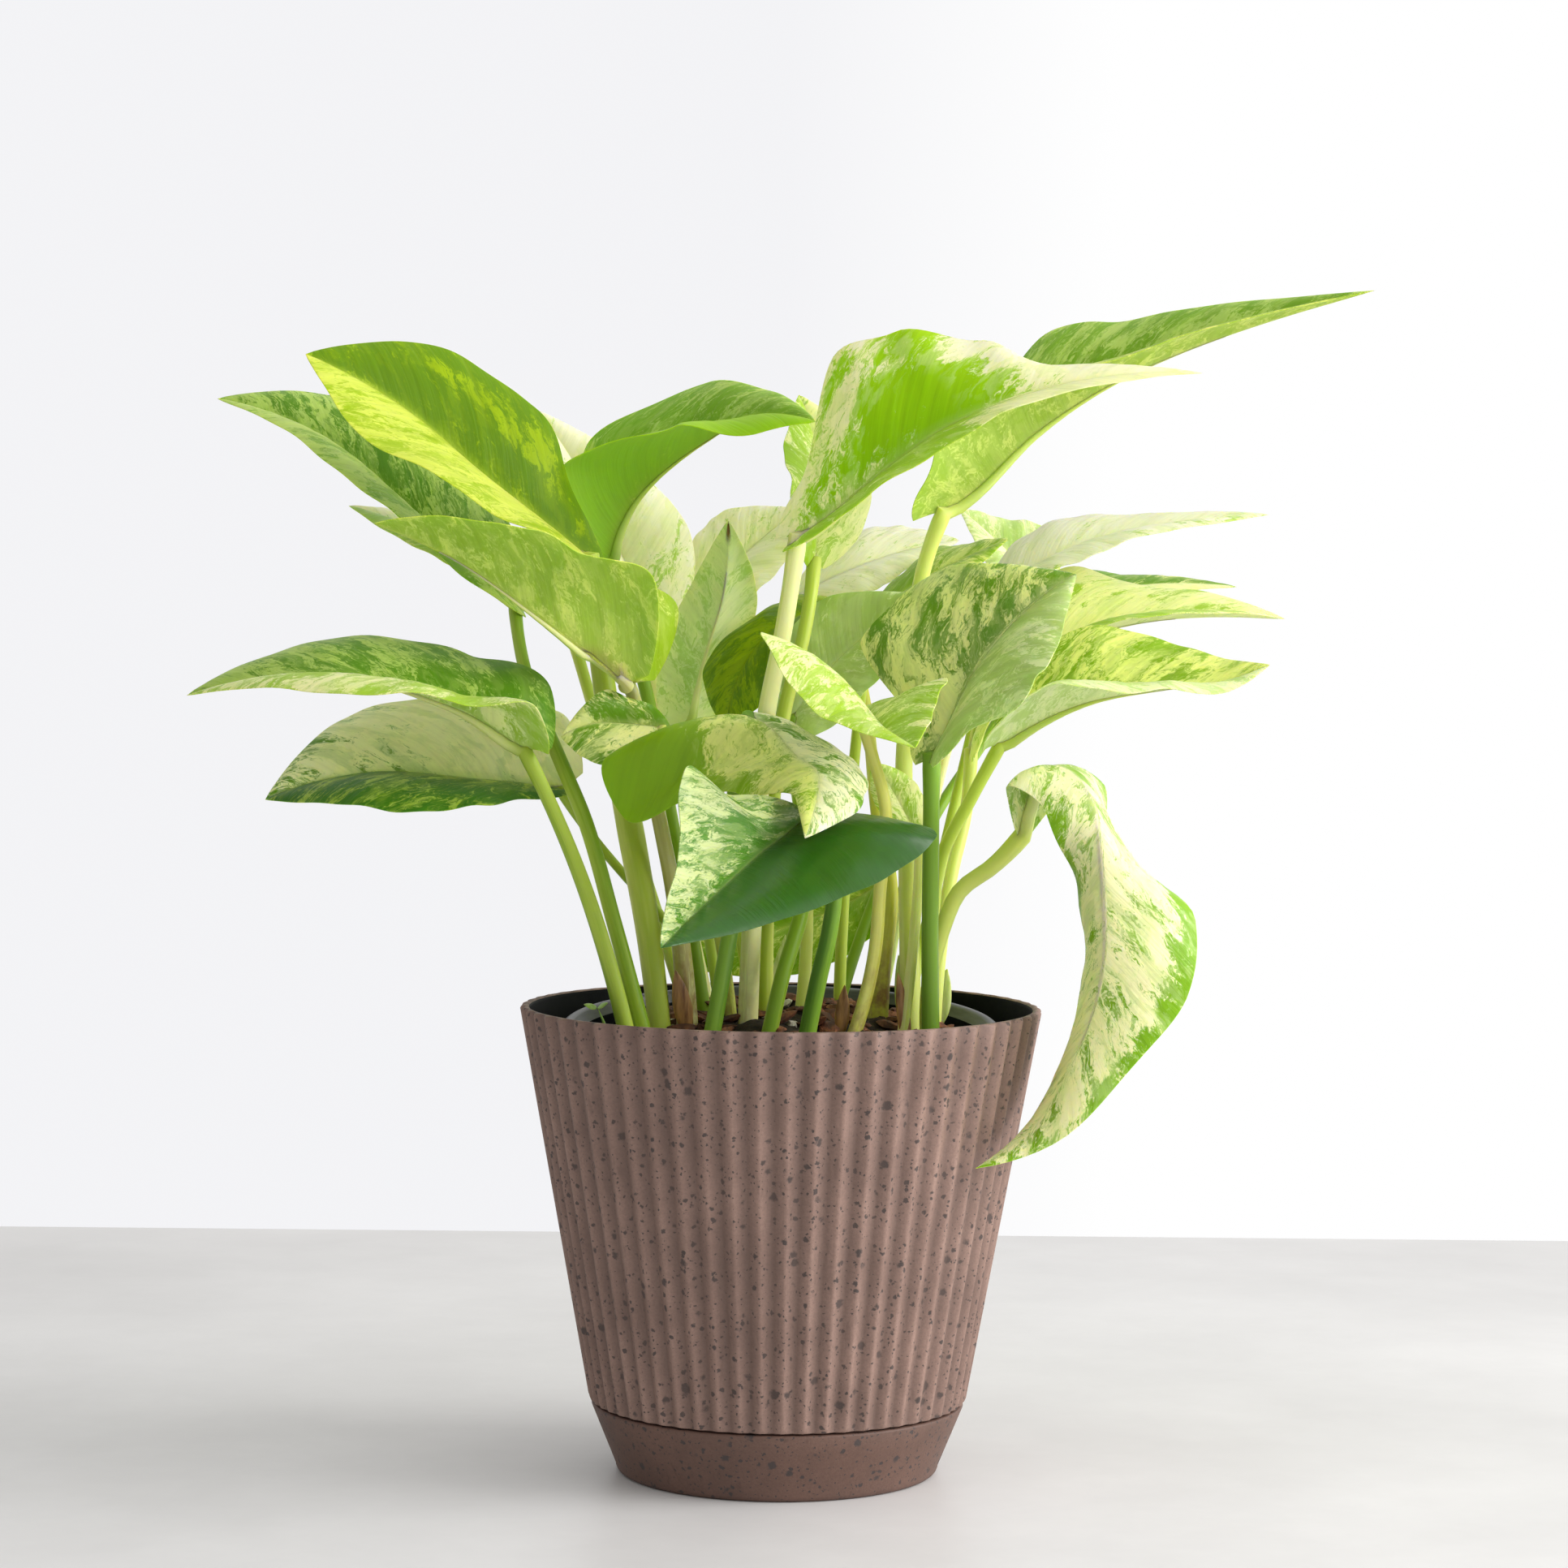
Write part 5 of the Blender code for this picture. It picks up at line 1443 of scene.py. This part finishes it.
# %% [markdown]
# ## Leaves at the left and over the rim
#
# A pale blade stands far back. Then come the two that reach out low at the left, seen almost
# edge on, and a small folded one. The tenth bends forward over the pot's rim. It stays green
# along one margin near its base, which a spot with less cream gives.

# %% Leaves 6 to 10
leaf("leaf_06", "pale_green", base=(-34, 56, 203), tip=(-63, 62, 256),
     rows=[(0.35, (-42, 58, 221), (-54, 50, 218), (-25, 62, 227)),
           (0.7, (-52, 62, 240), (-61, 56, 236), (-40, 66, 243))],
     foot=(-12, 33), stem=[(-31, 54, 175)],
     radii=(1.6, 1.6, 1.4),
     hue="milk", left=(0.85, 0.9, 0.9), right=(0.5, 0.85, 0.9), stalk="ivory")
leaf("leaf_07", "mid_green", base=(-60, -27, 173), tip=(-138, -30, 185),
     rows=[(0.1, (-67, -29, 178), (-58, -46, 184), (-57, -16, 188)),
           (0.33, (-79, -31, 184), (-74, -54, 185), (-75, -12, 196)),
           (0.66, (-105, -36, 190), (-103, -56, 187), (-108, -18, 198))],
     foot=(-32, -22), stem=[(-38, -25, 116), (-48, -27, 147)],
     radii=(2.2, 2.0, 1.7),
     hue=("pale", "clover"), left=(0.4, 0.45, 0.5), right=(0.2, 0.5, 0.62), stalk="jade")
leaf("leaf_08", "cream_green", base=(-53, -4, 163), tip=(-120, -28, 161),
     rows=[(0.1, (-60, -6, 164), (-60, -16, 162), (-54, 8, 179)),
           (0.32, (-71, -10, 165), (-71, -33, 160), (-72, 10, 183)),
           (0.66, (-96, -18, 167), (-95, -42, 160), (-102, 0, 181))],
     foot=(-22, 19), stem=[(-28, 14, 130), (-38, 8, 142), (-45, 1, 151)],
     radii=(1.3, 1.2, 1.2),
     hue=("forest", "spotted"), left=(0.4, 0.42, 0.35), right=(0.95, 0.88, 0.48), stalk="jade")
leaf("leaf_09", "cream_green", base=(-29, -10, 178), tip=(-52, -20, 176),
     rows=[(0.35, (-36, -14, 179), (-37, -20, 168), (-36, -15, 185)),
           (0.7, (-45, -18, 179), (-46, -22, 171), (-44, -17, 186))],
     foot=(-11, -2), stem=[(-14, -5, 125), (-20, -9, 150)],
     radii=(1.5, 1.5, 1.3), lobe=0.1,
     hue=("marble", "marble"), left=(0.7, 0.5, 0.5), right=(0.1, 0.25, 0.8), stalk="celery",
     husk=0.7)
leaf("leaf_10", "cream_green", base=(-8, -15, 181), tip=(5, -60, 155),
     rows=[(0.12, (-4, -18, 179), (4, -14, 179), (-39, -27, 171)),
           (0.35, (2, -27, 173), (15, -20, 172), (-35, -34, 157)),
           (0.7, (8, -40, 167), (19, -32, 164), (-10, -41, 164)),
           (0.87, (7, -51, 161), (15, -45, 159), (3, -49, 163))],
     foot=(-20, -20), stem=[(-13, -19, 125), (-11, -14, 139), (-12, -6, 156)],
     radii=(2.1, 1.9, 1.7), root=0.5, bulge=(0.1, 0.12),
     hue=("spotted", "fresh"), left=(0.55, 0.6, 0.6), right=(0.6, 0.68, 0.72), stalk="bottle",
     spots=[(0.2, 1.0, 0.45, 0.5, -1.2)])
print("leaves so far:", len(made))

# %% [markdown]
# ## Leaves in front and at the right
#
# The eleventh points at the viewer and is really two-coloured: one half is deep green and the
# other is chalky with green flecks, so each half has its own hue and share of cream. The
# thirteenth stands upright with a burnt tip. The last two reach out to the right.

# %% Leaves 11 to 15
leaf("leaf_11", "deep_green", base=(5, -35, 158), tip=(-26, -95, 133),
     rows=[(0.12, (1, -44, 155), (32, -36, 156), (-11, -60, 164)),
           (0.35, (-5, -52, 151), (33, -42, 152), (-22, -72, 171)),
           (0.7, (-18, -76, 140), (8, -70, 140), (-23, -86, 150))],
     foot=(3, -27), stem=[(9, -28, 122), (11, -29, 131), (12, -29, 143)],
     radii=(2.1, 2.0, 1.7), root=0.5, bulge=(0.08, 0.04), lobe=0.04,
     hue=("deep", "chalk"), left=(-0.6, -0.5, -0.4), right=(0.5, 0.64, 0.5), stalk="bottle",
     spots=[(0.35, 0.15, 0.25, 0.3, -0.3)])
leaf("leaf_12", "pale_green", base=(18, -14, 182), tip=(29, -76, 176),
     rows=[(0.12, (19, -22, 181), (29, -30, 186), (3, -38, 192)),
           (0.35, (21, -36, 180), (37, -44, 191), (-5, -50, 201)),
           (0.7, (25, -58, 178), (33, -62, 183), (9, -68, 182))],
     foot=(8, -18), stem=[(22, -15, 126), (23, -13, 139), (24, -14, 161), (21, -11, 172)],
     radii=(1.8, 1.6, 1.4), root=0.5, lobe=0.04,
     hue="pale", left=(0.5, 0.45, 0.25), right=(0.5, 0.5, 0.25), stalk="straw",
     husk=0.5)
leaf("leaf_13", "deep_green", base=(35, -14, 172), tip=(68, -19, 215),
     rows=[(0.1, (38, -15, 178), (31, -11, 179), (42, -28, 178)),
           (0.35, (44, -19, 191), (19, -4, 200), (55, -46, 187)),
           (0.7, (56, -22, 206), (41, -6, 217), (62, -44, 199))],
     foot=(36, -18), stem=[(35, -17, 125), (35, -15, 155)],
     radii=(2.3, 2.1, 2.0), root=0.5,
     # The right half's pale grey-green mist hue is a painted sheen.
     hue=("marble", "mist"), left=(0.62, 0.55, 0.5), right=(0.45, 0.4, 0.4), stalk="bottle",
     scars=[(0.985, 0.0, 1.2)])
leaf("leaf_14", "cream_green", base=(52, 8, 174), tip=(117, 10, 194),
     rows=[(0.35, (71, 8, 184), (72, 17, 203), (63, -16, 189)),
           (0.7, (92, 8, 188), (97, 17, 198), (89, -10, 188)),
           (0.88, (107, 9, 190), (109, 14, 195), (107, 0, 188))],
     foot=(37, 1), stem=[(36, 2, 133), (38, 4, 147), (45, 6, 161)],
     radii=(1.9, 1.7, 1.6),
     hue=("fresh", "mist"), left=(0.55, 0.55, 0.6), right=(0.45, 0.5, 0.55), stalk="celery")
leaf("leaf_15", "pale_green", base=(46, 29, 172), tip=(124, 38, 205),
     rows=[(0.35, (60, 38, 193), (66, 54, 216), (64, 24, 197)),
           (0.7, (89, 38, 204), (94, 54, 213), (94, 24, 206))],
     foot=(37, 13), stem=[(41, 20, 141), (45, 27, 158)],
     radii=(1.9, 1.8, 1.6),
     hue="pale", left=(0.8, 0.75, 0.7), right=(0.75, 0.8, 0.8), stalk="ivory",
     spots=[(0.6, 0.8, 0.35, 0.25, -0.55)])
print("leaves so far:", len(made))

# %% [markdown]
# ## Leaves behind and at the top
#
# Two pale blades and a small one stand behind at the right. The nineteenth is the tallest and
# is folded like a boat. The twentieth, above the middle, is broad and changes its width
# quickly, so it takes five rows of points where most take two.

# %% Leaves 16 to 20
leaf("leaf_16", "pale_green", base=(52, 62, 195), tip=(115, 66, 213),
     rows=[(0.35, (71, 64, 208), (74, 82, 217), (70, 46, 205)),
           (0.7, (92, 68, 213), (94, 83, 215), (89, 56, 210))],
     foot=(26, 27), stem=[(46, 52, 170)],
     radii=(1.6, 1.6, 1.4),
     hue=("marble", "pale"), left=(0.05, 0.1, 0.5), right=(0.6, 0.7, 0.8), stalk="celery")
leaf("leaf_17", "pale_green", base=(52, 44, 208), tip=(121, 48, 231),
     rows=[(0.35, (66, 46, 219), (65, 64, 229), (69, 28, 218)),
           (0.7, (90, 48, 227), (91, 64, 231), (89, 34, 225))],
     foot=(29, 20), stem=[(43, 40, 181)],
     radii=(1.6, 1.6, 1.4),
     hue="milk", left=(0.85, 0.9, 0.75), right=(0.85, 0.85, 0.7), stalk="ivory")
leaf("leaf_18", "mid_green", base=(68, 92, 210), tip=(46, 106, 233),
     rows=[(0.35, (61, 97, 219), (55, 84, 216), (69, 104, 228)),
           (0.7, (53, 102, 227), (50, 91, 223), (57, 108, 231))],
     foot=(22, 31), stem=[(34, 45, 146), (59, 82, 186)],
     radii=(1.5, 1.5, 1.3),
     hue="mist", left=(0.5, 0.5, 0.5), right=(0.4, 0.4, 0.4), stalk="jade")
leaf("leaf_19", "mid_green", base=(38, 10, 230), tip=(141, 10, 284),
     rows=[(0.1, (45, 12, 235), (43, 19, 244), (36, 6, 238)),
           (0.33, (61, 17, 250), (65, 36, 275), (42, 4, 258)),
           (0.65, (90, 17, 267), (91, 30, 279), (82, 2, 268))],
     foot=(31, -4), stem=[(30, 4, 144), (29, 10, 170), (31, 12, 193), (33, 12, 215)],
     radii=(3.0, 2.3, 1.9), taper=1.1,
     hue=("moss", "soft"), left=(0.42, 0.45, 0.55), right=(0.42, 0.38, 0.5), stalk="ivory")
leaf("leaf_20", "yellow_green", base=(3, -14, 223), tip=(97, -20, 262),
     rows=[(0.1, (10, -16, 228), (6, -10, 237), (12, -26, 227)),
           (0.33, (25, -20, 240), (13, -8, 268), (27, -40, 238)),
           (0.47, (36, -22, 248), (26, -8, 272), (38, -40, 245)),
           (0.64, (52, -24, 255), (46, -9, 270), (52, -42, 252)),
           (0.8, (70, -24, 260), (64, -13, 264), (70, -34, 258))],
     foot=(-8, -10), stem=[(-6, -9, 151), (-4, -8, 181), (0, -13, 202)],
     radii=(2.6, 2.4, 2.1), bulge=(0.1, 0.04), taper=1.0,
     hue=("butter", "pale"), left=(0.5, 0.22, 0.95), right=(0.3, 0.2, 0.95), stalk="ivory",
     spots=[(0.2, -0.9, 0.3, 0.5, 0.18), (0.5, -0.2, 0.25, 0.4, -0.3), (0.75, 0.0, 0.2, 1.5, 0.4)],
     husk=0.3)
print("leaves so far:", len(made))

# %% [markdown]
# ## Leaves between the others
#
# These show only a corner between the blades in front of them. Each still gets a whole blade,
# because the plant is looked at from every side. The twenty-fifth has a brown, dried tip.

# %% Leaves 21 to 25
leaf("leaf_21", "pale_green", base=(7, 14, 218), tip=(3, 34, 259),
     rows=[(0.35, (8, 18, 232), (1, 6, 236), (21, 26, 234)),
           (0.7, (7, 31, 247), (0, 24, 249), (16, 34, 249))],
     foot=(-2, -2), stem=[(-3, -1, 150), (0, 2, 181), (5, 5, 202)],
     radii=(1.9, 1.8, 1.6),
     hue="pale", left=(0.2, 0.3, 0.4), right=(0.6, 0.65, 0.6), stalk="celery")
leaf("leaf_22", "pale_green", base=(2, 54, 209), tip=(44, 60, 224),
     rows=[(0.35, (16, 53, 216), (19, 70, 227), (19, 42, 210)),
           (0.7, (30, 57, 221), (33, 70, 227), (30, 46, 216))],
     foot=(1, 6), stem=[(6, 11, 132), (4, 20, 157), (-1, 44, 186)],
     radii=(1.7, 1.6, 1.4),
     hue="milk", left=(0.8, 0.75, 0.7), right=(0.8, 0.8, 0.8), stalk="ivory")
leaf("leaf_23", "mid_green", base=(21, 28, 204), tip=(55, 34, 224),
     rows=[(0.35, (33, 30, 213), (35, 48, 220), (32, 20, 210)),
           (0.7, (44, 32, 219), (46, 46, 223), (45, 24, 216))],
     foot=(14, 20), stem=[(18, 26, 177)],
     radii=(1.6, 1.5, 1.3),
     hue="fresh", left=(0.3, 0.35, 0.5), right=(0.35, 0.4, 0.5), stalk="celery")
leaf("leaf_24", "deep_green", base=(2, 8, 180), tip=(34, 0, 210),
     rows=[(0.35, (11, 8, 192), (2, 12, 202), (17, 2, 184)),
           (0.7, (22, 5, 202), (13, 12, 210), (26, -1, 195))],
     foot=(-6, -19), stem=[(0, -17, 119), (5, -10, 137), (4, 2, 158)],
     radii=(2.0, 1.8, 1.5), lobe=0.1,
     # The pale grey-green mist hue is painted sheen and painted light on a blade that lies in shade.
     hue="mist", left=(0.2, 0.2, 0.3), right=(0.3, 0.3, 0.3), stalk="jade")
leaf("leaf_25", "mid_green", base=(-23, 38, 178), tip=(-14, 26, 228),
     rows=[(0.35, (-20, 38, 193), (-10, 44, 193), (-31, 39, 193)),
           (0.7, (-15, 34, 211), (-7, 40, 211), (-23, 37, 213))],
     foot=(-10, 15), stem=[(-21, 30, 154)],
     radii=(1.8, 1.7, 1.5), lobe=0.1,
     # The pale mist hue is painted light, as if the shaded blade were lit through.
     hue="mist", left=(0.55, 0.62, 0.6), right=(0.6, 0.65, 0.6), stalk="jade",
     scars=[(0.97, 0.0, 3.0)])
print("leaves so far:", len(made))

# %% [markdown]
# ## Inner leaves and the hanging leaf
#
# The twenty-eighth hangs over the pot's rim. It takes six rows to bend it round, and its base
# stays narrow, so its root is steeper and it has no lobe. The others are small blades low
# between the stalks and at the back.

# %% Leaves 26 to 30
leaf("leaf_26", "mid_green", base=(15, 34, 206), tip=(-14, 14, 177),
     rows=[(0.35, (0, 30, 203), (5, 18, 197), (-3, 40, 208)),
           (0.7, (-10, 22, 192), (-2, 12, 185), (-20, 28, 190))],
     foot=(23, 2), stem=[(24, 3, 121), (26, 8, 137), (23, 22, 157), (20, 38, 184)],
     radii=(3.0, 1.8, 1.3),
     hue="lime", left=(0.55, 0.5, 0.45), right=(0.5, 0.5, 0.5), stalk="straw", husk=1.0)
leaf("leaf_27", "pale_green", base=(-24, 68, 202), tip=(4, 72, 232),
     rows=[(0.35, (-16, 70, 214), (-22, 80, 226), (-8, 58, 209)),
           (0.7, (-6, 72, 224), (-13, 80, 232), (1, 64, 221))],
     foot=(-4, 36), stem=[(-19, 58, 175)],
     radii=(1.6, 1.6, 1.4),
     hue="milk", left=(0.75, 0.7, 0.8), right=(0.7, 0.75, 0.8), stalk="celery")
leaf("leaf_28", "cream_green", base=(57, -5, 153), tip=(45, -38, 78),
     rows=[(0.12, (61, -14, 169), (72, -8, 166), (52, -24, 165)),
           (0.28, (71, -30, 164), (77, -12, 152), (61, -32, 159)),
           (0.45, (74, -34, 140), (96, -28, 135), (69, -20, 140)),
           (0.6, (74, -34, 124), (94, -32, 118), (72, -16, 123)),
           (0.78, (69, -30, 105), (80, -34, 100), (67, -14, 99)),
           (0.9, (59, -30, 87), (64, -36, 84), (57, -25, 86))],
     foot=(39, -9), stem=[(38, -11, 131), (42, -10, 140), (50, -8, 146)],
     radii=(2.0, 1.9, 2.0), lobe=0.0, root=0.9,
     hue="meadow", left=(0.45, 0.68, 0.7), right=(0.45, 0.7, 0.72), stalk="celery",
     scars=[(0.42, 0.98, 1.3)],
     spots=[(0.6, 1.0, 0.35, 0.35, -0.45), (0.6, -1.0, 0.35, 0.3, -0.5)])
leaf("leaf_29", "pale_green", base=(33, 1, 150), tip=(21, -4, 170),
     rows=[(0.4, (28, 0, 160), (23, -2, 158), (33, 2, 163))],
     foot=(26, -11), stem=[(32, -7, 136)],
     radii=(1.4, 1.3, 1.2),
     hue="pale", left=(0.45, 0.4, 0.4), right=(0.5, 0.5, 0.5), stalk="ivory")
leaf("leaf_30", "mid_green", base=(25, 50, 138), tip=(-32, 48, 119),
     rows=[(0.35, (11, 52, 130), (16, 42, 120), (7, 62, 138)),
           (0.7, (-10, 52, 123), (-7, 44, 114), (-13, 60, 130))],
     foot=(9, 34), stem=[(20, 42, 126)],
     radii=(1.6, 1.6, 1.4),
     hue="fresh", left=(0.35, 0.35, 0.4), right=(0.4, 0.4, 0.4), stalk="jade")
print(len(made), "leaves,", sum(len(o.data.polygons) for o in made), "faces")

# %% [markdown]
